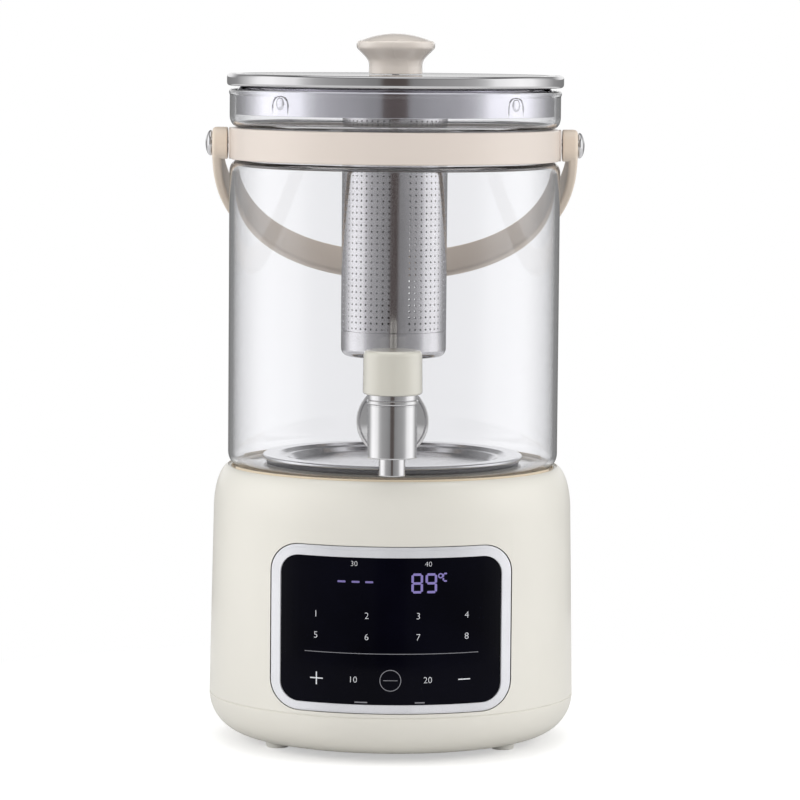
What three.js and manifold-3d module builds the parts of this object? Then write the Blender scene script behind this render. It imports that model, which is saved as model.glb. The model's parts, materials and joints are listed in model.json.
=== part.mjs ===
import * as THREE from 'three';
import { mergeVertices } from 'three/addons/utils/BufferGeometryUtils.js';
import Module from 'manifold-3d';

// Electric tea kettle: a glass jug with a tap, a hanging tea infuser and a swinging bail handle,
// on a powered base with a curved touch panel. Lengths are millimetres and +Z is up.
// The front, with the tap and the panel, faces -Y. Everything round stands on one vertical axis.
// The whole kettle is moved at the end so that its origin is under the middle of its outline.

// Fits
const seatGap = 0.3;
const shankClearance = 0.3;
const cutOverrun = 3;

// Counts of facets
const bigSides = 24;
const tubeSides = 24;
const fittingSides = 16;
const smallSides = 12;
const arcSteps = 3;

// Feet, screws and lower tray of the base
const footHeight = 3.2;
const footRadius = 5.5;
const footTopRadius = 6;
const footInset = 5.4;
const footAngle = THREE.MathUtils.degToRad(58);
const trayCorner = 20;
const baseRadius = 91.4;
const baseWall = 2.6;
const seamGap = 0.4;
const screwHeadRadius = 3.3;
const screwHeadHeight = 1.2;
const screwRadius = 1.5;
const screwLength = 15;
const postRadius = 4.2;

// Housing of the base
const housingHeight = 114.3;
const wallDraft = 1.8;
const shoulderWidth = 8.2;
const shoulderHeight = 22.2;
const recessDepth = 3.2;
const recessInset = 1.6;
const recessLand = 0.4;
const wellClearance = 2;
const wellFloorClearance = 3.5;

// Touch panel in the front of the housing
const panelLift = 2.3;
const panelDrop = 8.3;
const panelWidth = 117.8;
const panelCorner = 14;
const bezelWidth = 4.8;
const bezelProud = 0.5;
const bezelDepth = 3;
const touchGlassProud = 0.2;
const touchGlassThickness = 2;
const carrierRim = 4;
const carrierEdge = 4;
const boardThickness = 1.6;
const displayWidth = 56;
const displayHeight = 16;
const displayDepth = 11;
const displayDrop = 17.75;

// Power board on the tray
const powerBoardMargin = 7.8;
const powerBoardLength = 70;
const standoffHeight = 6;
const standoffRadius = 3;
const standoffInset = 7;
const relayWidth = 19;
const relayLength = 15;
const relayHeight = 16;
const capacitorRadius = 8;
const capacitorHeight = 22;
const transformerWidth = 28;
const transformerLength = 24;
const transformerHeight = 20;
const componentSpacing = 12;
const solderDepth = 0.8;

// Cord inlet at the back of the housing
const inletLift = 11;
const inletRadius = 5.4;
const inletBore = 3.7;
const inletFlangeRadius = 7.8;
const inletFlange = 2;
const inletTail = 5;

// Cordless connector between base and jug
const socketRadius = 15.5;
const socketHeight = 9.7;
const socketFlangeRadius = 19;
const socketFlange = 2.4;
const connectorPin = 2.6;
const connectorRingInner = 6.6;
const connectorRingOuter = 9;
const connectorPlay = 0.4;
const connectorPinReach = 7.7;
const connectorRingReach = 5.7;
const connectorBody = 3.8;
const connectorRadius = 16;
const connectorFlangeRadius = 20;
const connectorFlange = 2;
const connectorLift = 0.8;

// Seat gasket, and the cup under the jug
const seatGasketInset = 2;
const seatGasketMargin = 1.8;
const seatGasketThickness = 0.9;
const cupMargin = 2.3;
const cupWall = 2.2;
const cupHeight = 21.2;
const turretWall = 2;
const turretPlay = 3.5;

// Glass jar
const jarWall = 2.2;
const jarCorner = 8;
const jarBodyHeight = 143;
const jarShoulderHeight = 10.9;
const jarNeckHeight = 16.4;
const jarFlareHeight = 6.7;
const jarBandHeight = 13.5;
const jarNeckDepth = 3.9;
const jarLip = 1;

// Heating plate, its clamp and its element
const plateMargin = 16.2;
const plateRimHeight = 2.2;
const plateRimSlope = 1.5;
const plateRimWidth = 7.7;
const plateRimStep = 6.5;
const plateSeatWidth = 8.7;
const plateDishDepth = 4;
const plateSheet = 1.4;
const plateSkirtPlay = 0.9;
const plateSkirtWall = 1.6;
const plateSkirtDepth = 13.4;
const plateGasketInset = 0.8;
const plateGasketThickness = 2.1;
const clampInset = 1.2;
const clampHeight = 4.6;
const clampGasketThickness = 1.5;
const elementRingShare = 0.53125;
const elementRadius = 3.4;
const elementTail = 6;
const elementOpening = THREE.MathUtils.degToRad(40);
const sensorRadius = 5;
const sensorHeight = 7;
const sensorFlange = 8;
const sensorFlangeHeight = 1.5;

// Band round the neck, pivot pins and bail handle
const bandThickness = 3;
const bandClearance = 0.3;
const bandEdge = 0.8;
const lugHeight = 1.2;
const bailWidth = 16;
const bailThickness = 4.6;
const bailLeg = 8;
const bailEdge = 1.2;
const bailRoundness = 2.2;
const bailBossOverlap = 3.1;
const bailRestAngle = THREE.MathUtils.degToRad(36.3);
const bailSteps = 14;
const pinRadius = 3;
const pinHeadRadius = 6.4;
const pinHeadHeight = 3.1;
const pinEngagement = 3.4;

// Lid
const lidOverhang = 1.4;
const lidHeight = 6.1;
const lidSheet = 1.5;
const lidHem = 3.8;
const lidEdge = 2;
const skirtGap = 1.1;
const skirtSheet = 0.8;
const skirtDepth = 18.4;
const skirtFlange = 7;
const tabWidth = 8.6;
const tabHeight = 10;
const tabSlot = 0.9;
const tabLift = 1.8;
const tabAngle = THREE.MathUtils.degToRad(48);
const dimpleRadius = 1.8;
const dimpleHeight = 0.6;
const knobHeight = 20.1;
const knobRadius = 19.8;
const knobNeckRadius = 13;
const knobFootRadius = 14;
const knobFootHeight = 1.6;
const knobNeckHeight = 4.6;
const knobRimHeight = 14.4;
const knobRimEdge = 1.6;
const knobScrewRadius = 2;
const knobScrewLength = 15;
const knobScrewHead = 4;
const knobScrewHeadHeight = 2;
const washerRadius = 7;
const washerThickness = 1;

// Tea infuser and its bayonet
const infuserRadius = 26.3;
const infuserSheet = 0.8;
const infuserDrop = 134.3;
const infuserCorner = 4;
const infuserBandHeight = 13;
const spigotHeight = 4;
const spigotSheet = 0.8;
const holeRadius = 1.5;
const holeRows = 4;
const holePitch = 21;
const holeSides = 6;
const collarSheet = 1;
const collarHeight = 12;
const bayonetLug = 0.7;
const bayonetTab = 1;
const bayonetHeight = 1.6;
const bayonetLift = 1.2;
const bayonetArc = THREE.MathUtils.degToRad(60);
const bayonetLugArc = THREE.MathUtils.degToRad(24);
const socketRingSheet = 1.2;
const socketRingPlay = 1.2;

// Tap
const tapLift = 31.4;
const tapReach = 44.4;
const tapBodyRadius = 11.75;
const tapBodyBelow = 13.4;
const tapBodyAbove = 11.1;
const tapArmRadius = 7.5;
const tapShankRadius = 6;
const tapBore = 4;
const tapFlangeRadius = 17.5;
const tapFlangeThickness = 3;
const tapFlangeEdge = 1.4;
const tapFlangeHub = 10;
const tapGasketRadius = 16;
const tapGasketThickness = 2;
const tapInnerGasketRadius = 11;
const tapInnerGasketThickness = 1.8;
const tapNutFlats = 20;
const tapNutThickness = 5;
const tapShankTail = 2.5;
const valveRadius = 7;
const valveClearance = 0.3;
const valvePort = 3.3;
const valveBore = 4.2;
const valveFloor = 3.5;
const valveRoof = 6;
const spindleRadius = 3.5;
const spindleHeight = 22;
const bonnetRadius = 12.2;
const bonnetHeight = 4.7;
const bonnetGroove = 0.5;
const bonnetGrooveShare = 0.36;
const spoutRadius = 6.35;
const spoutBore = 4.3;
const spoutLength = 8.3;
const spoutSpigot = 5.2;
const spoutSpigotHeight = 3.2;
const spoutEdge = 0.5;
const tapKnobRadius = 14.1;
const tapKnobHeight = 21.9;
const tapKnobEdge = 2;
const tapKnobDraft = 0.3;
const tapKnobWeb = 4;

// Radii, worked out from the base's wall inwards
const shoulderRadius = baseRadius - wallDraft;
const recessRadius = shoulderRadius - shoulderWidth - recessLand;
const jarRadius = recessRadius + recessInset;
const neckRadius = jarRadius - jarNeckDepth;
const bandRadius = neckRadius + bandClearance + bandThickness;
const bailHalfSpan = bandRadius + lugHeight + seatGap + bailBossOverlap + bailThickness;
const lidRadius = jarRadius + lidOverhang;
const skirtRadius = jarRadius - jarWall - skirtGap;
const tapAxis = jarRadius + tapReach;
const plateRadius = jarRadius - jarWall - plateMargin;
const plateRimInner = plateRadius - plateRimWidth;
const plateDishRadius = plateRimInner - plateRimStep;
const jarHole = plateRadius - plateSeatWidth;
const plateSkirtRadius = jarHole - plateSkirtPlay;
const clampRadius = plateRadius - clampInset;
const cupRadius = plateRadius + cupMargin;
const wellRadius = cupRadius + wellClearance;
const seatGasketInner = wellRadius + seatGasketInset;
const seatGasketOuter = recessRadius - seatGasketMargin;
const turretRadius = socketRadius + turretPlay + turretWall;
const elementRoom = plateSkirtRadius - plateSkirtWall - turretRadius;
const elementRing = turretRadius + elementRoom * elementRingShare;
const footRing = baseRadius - trayCorner - footInset;
const powerBoardWidth = 2 * (footRing * Math.sin(footAngle) - postRadius - powerBoardMargin);

// Levels, worked out from the floor upwards
const trayBottom = footHeight + seatGap;
const seam = trayBottom + trayCorner;
const housingBottom = seam + seamGap;
const baseTop = housingBottom + housingHeight;
const shoulderStart = baseTop - shoulderHeight;
const panelBottom = housingBottom + panelLift;
const panelHeight = shoulderStart - panelDrop - panelBottom;
const panelMiddle = panelBottom + panelHeight / 2;
const recessFloor = baseTop - recessDepth;
const seatGasketBottom = recessFloor + seatGap;
const jarBottom = seatGasketBottom + seatGasketThickness + seatGap;
const jarFloor = jarBottom + jarWall;
const jarShoulder = jarBottom + jarBodyHeight;
const neckBottom = jarShoulder + jarShoulderHeight;
const neckTop = neckBottom + jarNeckHeight;
const bandStart = neckTop + jarFlareHeight;
const jarTop = bandStart + jarBandHeight;
const cupTop = jarBottom - seatGap;
const cupBottom = cupTop - cupHeight;
const wellFloor = cupBottom - wellFloorClearance;
const socketTop = wellFloor + socketHeight;
const turretTop = socketTop + connectorLift + cupWall;
const plateGasketBottom = jarFloor + seatGap;
const plateRimBottom = plateGasketBottom + plateGasketThickness + seatGap;
const plateTop = plateRimBottom + plateRimHeight;
const plateFloor = plateTop - plateDishDepth;
const plateUnderside = plateFloor - plateSheet;
const clampGasketTop = jarBottom - seatGap;
const clampTop = clampGasketTop - clampGasketThickness - seatGap;
const clampBottom = clampTop - clampHeight;
const pivotHeight = (neckBottom + neckTop) / 2;
const lidBottom = jarTop + seatGap;
const lidTop = lidBottom + lidHeight;
const lidUnderside = lidTop - lidSheet;
const skirtTop = lidUnderside - seatGap;
const infuserBottom = jarTop - infuserDrop;
const infuserTop = lidUnderside - seatGap - socketRingPlay;
const tapHeight = jarBottom + tapLift;
const tapBottom = tapHeight - tapBodyBelow;
const tapTop = tapHeight + tapBodyAbove;
const valveBottom = tapBottom + valveFloor + seatGap;
const valveTop = tapTop - seatGap;
const bonnetBottom = tapTop + seatGap;
const bonnetTop = bonnetBottom + bonnetHeight;

const wasm = await Module();
wasm.setup();

// Materials
const ivory = { color: 0xe9e4d8, roughness: 0.42, metalness: 0 };
const beige = { color: 0xdfcfc3, roughness: 0.48, metalness: 0 };
const steel = { color: 0xb9b7bb, roughness: 0.3, metalness: 0.9 };
const polishedSteel = { color: 0xc9c8cc, roughness: 0.14, metalness: 1 };
const clearGlass = { color: 0xe8ecef, roughness: 0.03, metalness: 0, transparent: true, opacity: 0.35 };
const blackGlass = { color: 0x08080e, roughness: 0.06, metalness: 0 };
const silver = { color: 0xe4e5ea, roughness: 0.25, metalness: 0.5 };
const greySilicone = { color: 0x66656c, roughness: 0.6, metalness: 0 };
const tanSilicone = { color: 0xcfae88, roughness: 0.6, metalness: 0 };
const blackPlastic = { color: 0x25252a, roughness: 0.5, metalness: 0 };
const boardGreen = { color: 0x2f6b47, roughness: 0.5, metalness: 0 };
const footRubber = { color: 0xc6c2b6, roughness: 0.8, metalness: 0 };

/** Points of an elliptic arc in a profile; angles run from outwards (0) to upwards (a quarter turn). */
function arc(centreR, centreZ, radiusR, radiusZ, from, to, steps = arcSteps) {
  return Array.from({ length: steps + 1 }, (_, i) => {
    const angle = from + (to - from) * i / steps;
    return [centreR + radiusR * Math.cos(angle), centreZ + radiusZ * Math.sin(angle)];
  });
}

/** Points of a smooth step from one radius to another. */
function ease(fromR, fromZ, toR, toZ, steps = arcSteps) {
  return Array.from({ length: steps + 1 }, (_, i) => {
    const share = i / steps;
    const blend = (1 - Math.cos(Math.PI * share)) / 2;
    return [fromR + (toR - fromR) * blend, fromZ + (toZ - fromZ) * share];
  });
}

/** A body of revolution about the vertical axis, from a profile of [radius, height] points. */
function lathe(profile, sides = bigSides) {
  const onAxis = profile[0][0] === 0 && profile.at(-1)[0] === 0;
  const closed = onAxis ? profile : [...profile, profile[0]];
  const outline = closed.map(([radius, height]) => new THREE.Vector2(radius, height));
  return new THREE.LatheGeometry(outline, sides).rotateX(Math.PI / 2);
}

/** A ring of rectangular section. */
function ring(inner, outer, bottom, top, sides = bigSides) {
  return lathe([[inner, bottom], [outer, bottom], [outer, top], [inner, top]], sides);
}

/** An upright cylinder that stands on a given height. */
function post(radius, bottom, top, sides = smallSides) {
  const geometry = new THREE.CylinderGeometry(radius, radius, top - bottom, sides);
  return geometry.rotateX(Math.PI / 2).translate(0, 0, (top + bottom) / 2);
}

/** A cylinder along Y between two places on that axis. */
function rod(radius, from, to, height, sides = smallSides) {
  const geometry = new THREE.CylinderGeometry(radius, radius, Math.abs(to - from), sides);
  return geometry.translate(0, (from + to) / 2, 0).translate(0, 0, height);
}

/** A box from its sizes and the middle of its underside. */
function block(width, length, height, x, y, bottom) {
  return new THREE.BoxGeometry(width, length, height).translate(x, y, bottom + height / 2);
}

/** A rectangle with round corners, centred on the origin of its plane. */
function roundedRectangle(width, height, corner) {
  const x = width / 2 - corner;
  const y = height / 2 - corner;
  const shape = new THREE.Shape();
  shape.absarc(x, y, corner, 0, Math.PI / 2);
  shape.absarc(-x, y, corner, Math.PI / 2, Math.PI);
  shape.absarc(-x, -y, corner, Math.PI, 1.5 * Math.PI);
  shape.absarc(x, -y, corner, 1.5 * Math.PI, 2 * Math.PI);
  return shape;
}

/** A straight extrusion without a bevel. */
function extrude(shape, depth) {
  return new THREE.ExtrudeGeometry(shape, { depth, bevelEnabled: false, curveSegments: arcSteps });
}

/** Twice the signed volume of a triangle with the origin, used to see which way a mesh faces. */
function signedVolume(positions, corners) {
  const [a, b, c] = [new THREE.Vector3(), new THREE.Vector3(), new THREE.Vector3()];
  let sum = 0;
  for (let i = 0; i < corners.length; i += 3) {
    a.fromArray(positions, corners[i] * 3);
    b.fromArray(positions, corners[i + 1] * 3);
    c.fromArray(positions, corners[i + 2] * 3);
    sum += a.dot(b.cross(c));
  }
  return sum;
}

/** The solid of a closed geometry: shared corners merged, empty triangles dropped, faces outwards. */
function solid(geometry) {
  geometry.deleteAttribute('normal');
  geometry.deleteAttribute('uv');
  const merged = mergeVertices(geometry);
  const positions = merged.attributes.position.array;
  const corners = [];
  for (let i = 0; i < merged.index.count; i += 3) {
    const [a, b, c] = merged.index.array.slice(i, i + 3);
    if (a !== b && b !== c && c !== a) corners.push(a, b, c);
  }
  if (signedVolume(positions, corners) < 0) corners.reverse();
  const vertProperties = Float32Array.from(positions);
  const triVerts = Uint32Array.from(corners);
  return new wasm.Manifold(new wasm.Mesh({ numProp: 3, vertProperties, triVerts }));
}

/** Joins several geometries or solids into one solid. */
function join(...pieces) {
  return pieces.map(asSolid).reduce((sum, piece) => sum.add(piece));
}

/** Cuts several geometries or solids out of the first one. */
function cut(first, ...pieces) {
  return pieces.map(asSolid).reduce((rest, piece) => rest.subtract(piece), asSolid(first));
}

/** The space that two geometries or solids share. */
function common(first, second) {
  return asSolid(first).intersect(asSolid(second));
}

/** The solid of a piece, whether it is a geometry or already a solid. */
function asSolid(piece) {
  return piece.isBufferGeometry ? solid(piece) : piece;
}

/** Named mesh of a geometry or solid in its material. */
function piece(name, body, look) {
  const { vertProperties, triVerts } = asSolid(body).getMesh();
  const geometry = new THREE.BufferGeometry();
  geometry.setAttribute('position', new THREE.BufferAttribute(vertProperties, 3));
  geometry.setIndex(new THREE.BufferAttribute(triVerts, 1));
  geometry.computeVertexNormals();
  const mesh = new THREE.Mesh(geometry, new THREE.MeshStandardMaterial(look));
  mesh.name = name;
  return mesh;
}

/** Places on the circle of the feet: four, mirrored left to right and front to back. */
function footPlaces() {
  const x = footRing * Math.sin(footAngle);
  const y = footRing * Math.cos(footAngle);
  return [[-x, -y], [x, -y], [-x, y], [x, y]];
}

/** Outer radius of the drafted housing wall at a height. */
function wallRadius(height) {
  const share = (height - housingBottom) / (shoulderStart - housingBottom);
  return baseRadius + (shoulderRadius - baseRadius) * share;
}

/** Lower tray: a dish with a round corner, board standoffs and counterbored screw holes. */
function baseTray() {
  const flat = baseRadius - trayCorner;
  const inner = trayCorner - baseWall;
  const corner = arc(flat, seam, trayCorner, trayCorner, -Math.PI / 2, 0, arcSteps + 1);
  const inside = arc(flat, seam, inner, inner, 0, -Math.PI / 2, arcSteps - 1);
  const floorTop = trayBottom + baseWall;
  const x = powerBoardWidth / 2 - standoffInset;
  const y = powerBoardLength / 2 - standoffInset;
  const standoffTop = floorTop + standoffHeight;
  const standoffs = [[-x, -y], [x, -y], [-x, y], [x, y]].map(([px, py]) =>
    post(standoffRadius, floorTop - solderDepth, standoffTop, smallSides / 2).translate(px, py, 0));
  const dish = join(lathe([[0, trayBottom], ...corner, ...inside, [0, floorTop]]), ...standoffs);
  const headTop = trayBottom + screwHeadHeight + seatGap;
  const headRadius = screwHeadRadius + shankClearance;
  const shankRadius = screwRadius + shankClearance;
  const holes = footPlaces().flatMap(([px, py]) => [
    post(headRadius, trayBottom - cutOverrun, headTop, smallSides / 2).translate(px, py, 0),
    post(shankRadius, trayBottom, floorTop + cutOverrun, smallSides / 2).translate(px, py, 0),
  ]);
  return cut(dish, ...holes);
}

/** Housing shell: drafted wall, round shoulder, jug recess, well and four screw posts. */
function baseHousing() {
  const inside = shoulderRadius - shoulderWidth;
  const shoulder = arc(inside, shoulderStart, shoulderWidth, shoulderHeight, 0, Math.PI / 2, arcSteps + 1);
  const innerShoulder = arc(
    inside, shoulderStart, shoulderWidth - baseWall, recessFloor - baseWall - shoulderStart, Math.PI / 2, 0,
    arcSteps - 1);
  const shell = lathe([
    [0, wellFloor],
    [wellRadius, wellFloor],
    [wellRadius, recessFloor],
    [recessRadius, recessFloor],
    [recessRadius, baseTop],
    ...shoulder.reverse(),
    [baseRadius, housingBottom],
    [baseRadius - baseWall, housingBottom],
    ...innerShoulder.reverse(),
    [wellRadius + baseWall, recessFloor - baseWall],
    [wellRadius + baseWall, wellFloor - baseWall],
    [0, wellFloor - baseWall],
  ]);
  const postBottom = trayBottom + baseWall + seatGap;
  const posts = footPlaces().map(([x, y]) =>
    post(postRadius, postBottom, wellFloor - baseWall / 2, smallSides / 2).translate(x, y, 0));
  const pilots = footPlaces().map(([x, y]) =>
    post(screwRadius + shankClearance, postBottom - cutOverrun, trayBottom + screwLength + cutOverrun,
      smallSides / 2).translate(x, y, 0));
  const opening = common(
    panelPrism(panelWidth + 2 * seatGap, panelHeight + 2 * seatGap, panelCorner + seatGap),
    wallShell(-baseWall - cutOverrun, cutOverrun));
  const socketHole = post(socketRadius + seatGap, wellFloor - baseWall - cutOverrun, wellFloor + cutOverrun,
    tubeSides);
  const inletHole = rod(inletRadius + seatGap, 0, baseRadius + cutOverrun, housingBottom + inletLift);
  const wellInlet = cut(inletHole, post(wellRadius, 0, baseTop));
  return cut(join(shell, ...posts), ...pilots, opening, socketHole, wellInlet);
}

/** A rounded block that runs straight forwards from the axis, at the panel's height. */
function panelPrism(width, height, corner) {
  const depth = baseRadius + cutOverrun;
  const front = extrude(roundedRectangle(width, height, corner), depth).rotateX(Math.PI / 2);
  return front.translate(0, 0, panelMiddle);
}

/** A shell that follows the drafted wall, from one offset of its outer face to another. */
function wallShell(innerOffset, outerOffset) {
  const low = housingBottom;
  const high = shoulderStart;
  return lathe([
    [wallRadius(low) + innerOffset, low],
    [wallRadius(low) + outerOffset, low],
    [wallRadius(high) + outerOffset, high],
    [wallRadius(high) + innerOffset, high],
  ]);
}

/** Silver frame of the panel, curved with the wall. */
function panelBezel() {
  const frame = cut(
    panelPrism(panelWidth, panelHeight, panelCorner),
    panelPrism(panelWidth - 2 * bezelWidth, panelHeight - 2 * bezelWidth, panelCorner - bezelWidth));
  return common(frame, wallShell(-bezelDepth, bezelProud));
}

/** Touch glass inside the frame. */
function touchGlass() {
  const inset = 2 * (bezelWidth + seatGap);
  const pane = panelPrism(panelWidth - inset, panelHeight - inset, panelCorner - bezelWidth - seatGap);
  return common(pane, wallShell(touchGlassProud - touchGlassThickness, touchGlassProud));
}

const carrierWidth = panelWidth - 2 * (bezelWidth + seatGap);
const carrierFace = shoulderRadius + touchGlassProud - touchGlassThickness - seatGap;
const carrierBack = Math.sqrt(carrierFace ** 2 - (carrierWidth / 2) ** 2) - carrierEdge;

/** Moulded frame that holds the display board behind the curved glass. */
function displayCarrier() {
  const height = panelHeight - 2 * (bezelWidth + seatGap);
  const corner = panelCorner - bezelWidth - seatGap;
  const walls = cut(
    panelPrism(carrierWidth, height, corner),
    panelPrism(carrierWidth - 2 * carrierRim, height - 2 * carrierRim, corner - carrierRim));
  const reach = touchGlassProud - touchGlassThickness - seatGap;
  const front = common(walls, lathe([
    [0, housingBottom],
    [wallRadius(housingBottom) + reach, housingBottom],
    [wallRadius(shoulderStart) + reach, shoulderStart],
    [0, shoulderStart],
  ]));
  const depth = carrierBack + cutOverrun;
  const width = carrierWidth + cutOverrun;
  return cut(front, block(width, depth, housingHeight, 0, cutOverrun - depth / 2, housingBottom));
}

/** Flat board behind the carrier. */
function displayBoard() {
  const height = panelHeight - 2 * (bezelWidth + carrierRim);
  const y = seatGap + boardThickness / 2 - carrierBack;
  return block(carrierWidth - carrierRim, boardThickness, height, 0, y, panelMiddle - height / 2);
}

/** Digit module on the board, at the height of the lit numbers. */
function digitDisplay() {
  const bottom = panelBottom + panelHeight - displayDrop - displayHeight / 2;
  return block(displayWidth, displayDepth, displayHeight, 0, -carrierBack - displayDepth / 2, bottom);
}

/** Power board with its relay, capacitor and transformer. */
function powerBoard() {
  const bottom = trayBottom + baseWall + standoffHeight + seatGap;
  const seat = bottom + boardThickness - solderDepth;
  const front = componentSpacing + transformerLength / 2;
  return join(
    block(powerBoardWidth, powerBoardLength, boardThickness, 0, 0, bottom),
    block(transformerWidth, transformerLength, transformerHeight, -transformerWidth / 2, -front / 2, seat),
    block(relayWidth, relayLength, relayHeight, componentSpacing + relayWidth / 2, -front / 2, seat),
    post(capacitorRadius, seat, seat + capacitorHeight).translate(componentSpacing, front, 0));
}

/** Socket tower of the cordless connector, with a pin bore and a ring groove. */
function baseSocket() {
  const bottom = wellFloor - baseWall - seatGap - socketFlange;
  const pinFloor = socketTop - connectorPinReach - connectorPlay;
  const grooveFloor = socketTop - connectorRingReach - connectorPlay;
  return lathe([
    [0, bottom],
    [socketFlangeRadius, bottom],
    [socketFlangeRadius, bottom + socketFlange],
    [socketRadius, bottom + socketFlange],
    [socketRadius, socketTop],
    [connectorRingOuter + connectorPlay, socketTop],
    [connectorRingOuter + connectorPlay, grooveFloor],
    [connectorRingInner - connectorPlay, grooveFloor],
    [connectorRingInner - connectorPlay, socketTop],
    [connectorPin + connectorPlay, socketTop],
    [connectorPin + connectorPlay, pinFloor],
    [0, pinFloor],
  ], smallSides);
}

/** Plug of the cordless connector: a flanged disc with a centre pin and a contact ring below it. */
function jugPlug() {
  const flangeBottom = turretTop + seatGap;
  const face = socketTop + connectorLift;
  const top = flangeBottom + connectorFlange + connectorBody;
  return lathe([
    [0, socketTop - connectorPinReach],
    [connectorPin, socketTop - connectorPinReach],
    [connectorPin, face],
    [connectorRingInner, face],
    [connectorRingInner, socketTop - connectorRingReach],
    [connectorRingOuter, socketTop - connectorRingReach],
    [connectorRingOuter, face],
    [connectorRadius, face],
    [connectorRadius, flangeBottom],
    [connectorFlangeRadius, flangeBottom],
    [connectorFlangeRadius, flangeBottom + connectorFlange],
    [connectorRadius, flangeBottom + connectorFlange],
    [connectorRadius, top],
    [0, top],
  ], smallSides);
}

/** Gland of the cord in the back wall: a bush with an outer flange and a bore. */
function cordInlet() {
  const height = housingBottom + inletLift;
  const wall = wallRadius(height);
  const profile = [
    [inletBore, wall - baseWall - inletTail],
    [inletRadius, wall - baseWall - inletTail],
    [inletRadius, wall + seatGap],
    [inletFlangeRadius, wall + seatGap],
    [inletFlangeRadius, wall + seatGap + inletFlange],
    [inletBore, wall + seatGap + inletFlange],
  ];
  return lathe(profile, smallSides).rotateX(-Math.PI / 2).translate(0, 0, height);
}

/** Rubber foot, slightly wider at its top. */
function foot() {
  return lathe([[0, 0], [footRadius, 0], [footTopRadius, footHeight], [0, footHeight]], smallSides);
}

/** Screw with a flat head below and its shank upwards. */
function screw(bottom, headRadius, headHeight, shankRadius, length) {
  return lathe([
    [0, bottom],
    [headRadius, bottom],
    [headRadius, bottom + headHeight],
    [shankRadius, bottom + headHeight],
    [shankRadius, bottom + length],
    [0, bottom + length],
  ], smallSides / 2);
}

/** Profile of the jar's wall at an inward offset, from the bottom corner up to below the lip. */
function jarSide(offset) {
  const corner = jarCorner - offset;
  return [
    ...arc(jarRadius - jarCorner, jarBottom + jarCorner, corner, corner, -Math.PI / 2, 0, arcSteps - 1),
    ...ease(jarRadius - offset, jarShoulder, neckRadius - offset, neckBottom),
    ...ease(neckRadius - offset, neckTop, jarRadius - offset, bandStart, arcSteps - 1),
  ];
}

/** Glass jar with a necked mouth, a hole for the heating plate and a hole for the tap. */
function glassJar() {
  const lip = jarWall / 2;
  const mouth = arc(jarRadius - lip, jarTop - jarLip, lip, jarLip, 0, Math.PI, arcSteps + 1);
  const inside = jarSide(jarWall).reverse();
  const shell = lathe([[jarHole, jarBottom], ...jarSide(0), ...mouth, ...inside, [jarHole, jarFloor]]);
  const hole = rod(tapShankRadius + 2 * shankClearance, -jarRadius - cutOverrun,
    cutOverrun + jarWall - jarRadius, tapHeight);
  return cut(shell, hole);
}

/** Steel plate: dished middle, raised rim over the glass and a threaded skirt through its hole. */
function heatingPlate() {
  const rimEdge = arc(plateRadius - plateRimHeight / 2, plateRimBottom + plateRimHeight / 2,
    plateRimHeight / 2, plateRimHeight / 2, -Math.PI / 2, Math.PI / 2);
  const skirtBottom = plateRimBottom - plateSkirtDepth;
  return lathe([
    [0, plateUnderside],
    [plateSkirtRadius - plateSkirtWall, plateUnderside],
    [plateSkirtRadius - plateSkirtWall, skirtBottom],
    [plateSkirtRadius, skirtBottom],
    [plateSkirtRadius, plateRimBottom],
    ...rimEdge,
    [plateRimInner, plateTop],
    [plateRimInner - plateRimSlope, plateTop - plateRimSlope],
    [plateDishRadius, plateFloor],
    [0, plateFloor],
  ], tubeSides);
}

/** Threaded ring nut with a grip rim, under the jar. */
function clampRing() {
  const inner = plateSkirtRadius + shankClearance;
  const middle = (clampRadius + inner) / 2;
  return lathe([
    [inner, clampBottom - clampHeight / 2],
    [middle, clampBottom - clampHeight / 2],
    [middle, clampBottom + clampHeight / 2],
    [clampRadius, clampBottom + clampHeight / 2],
    [clampRadius, clampTop],
    [inner, clampTop],
  ], tubeSides);
}

/** Sheathed heating element: an open ring under the plate with two downward tails. */
function heatingElement() {
  const height = plateUnderside - 2 * seatGap - elementRadius;
  const bend = elementRadius * 2;
  const sweep = 2 * Math.PI - elementOpening;
  const first = Math.PI / 2 + elementOpening / 2;
  const at = (angle, z) => new THREE.Vector3(elementRing * Math.cos(angle), elementRing * Math.sin(angle), z);
  const bendAngle = bend / elementRing;
  const points = [at(first - bendAngle, height - bend - elementTail), at(first - bendAngle, height - bend)];
  const ringSteps = tubeSides / 2;
  for (let i = 0; i <= ringSteps; i += 1) points.push(at(first + sweep * i / ringSteps, height));
  const last = first + sweep + bendAngle;
  points.push(at(last, height - bend), at(last, height - bend - elementTail));
  const path = new THREE.CatmullRomCurve3(points, false, 'catmullrom', 0.5);
  const section = new THREE.Shape().absarc(0, 0, elementRadius, 0, 2 * Math.PI);
  const curveSegments = smallSides / 4;
  return new THREE.ExtrudeGeometry(section, { steps: tubeSides, extrudePath: path, curveSegments });
}

/** Temperature sensor: a flanged button against the middle of the plate. */
function temperatureSensor() {
  const top = plateUnderside - seatGap;
  return lathe([
    [0, top - sensorHeight],
    [sensorRadius, top - sensorHeight],
    [sensorRadius, top - sensorFlangeHeight],
    [sensorFlange, top - sensorFlangeHeight],
    [sensorFlange, top],
    [0, top],
  ], smallSides);
}

/** Plastic cup under the jar with a turret that takes the connector. */
function jugCup() {
  const turret = turretRadius - turretWall;
  const turretBore = connectorRadius + seatGap;
  return lathe([
    [turret, cupBottom],
    [cupRadius, cupBottom],
    [cupRadius, cupTop],
    [cupRadius - cupWall, cupTop],
    [cupRadius - cupWall, cupBottom + cupWall],
    [turretRadius, cupBottom + cupWall],
    [turretRadius, turretTop],
    [turretBore, turretTop],
    [turretBore, turretTop - cupWall],
    [turret, turretTop - cupWall],
  ], tubeSides);
}

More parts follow.
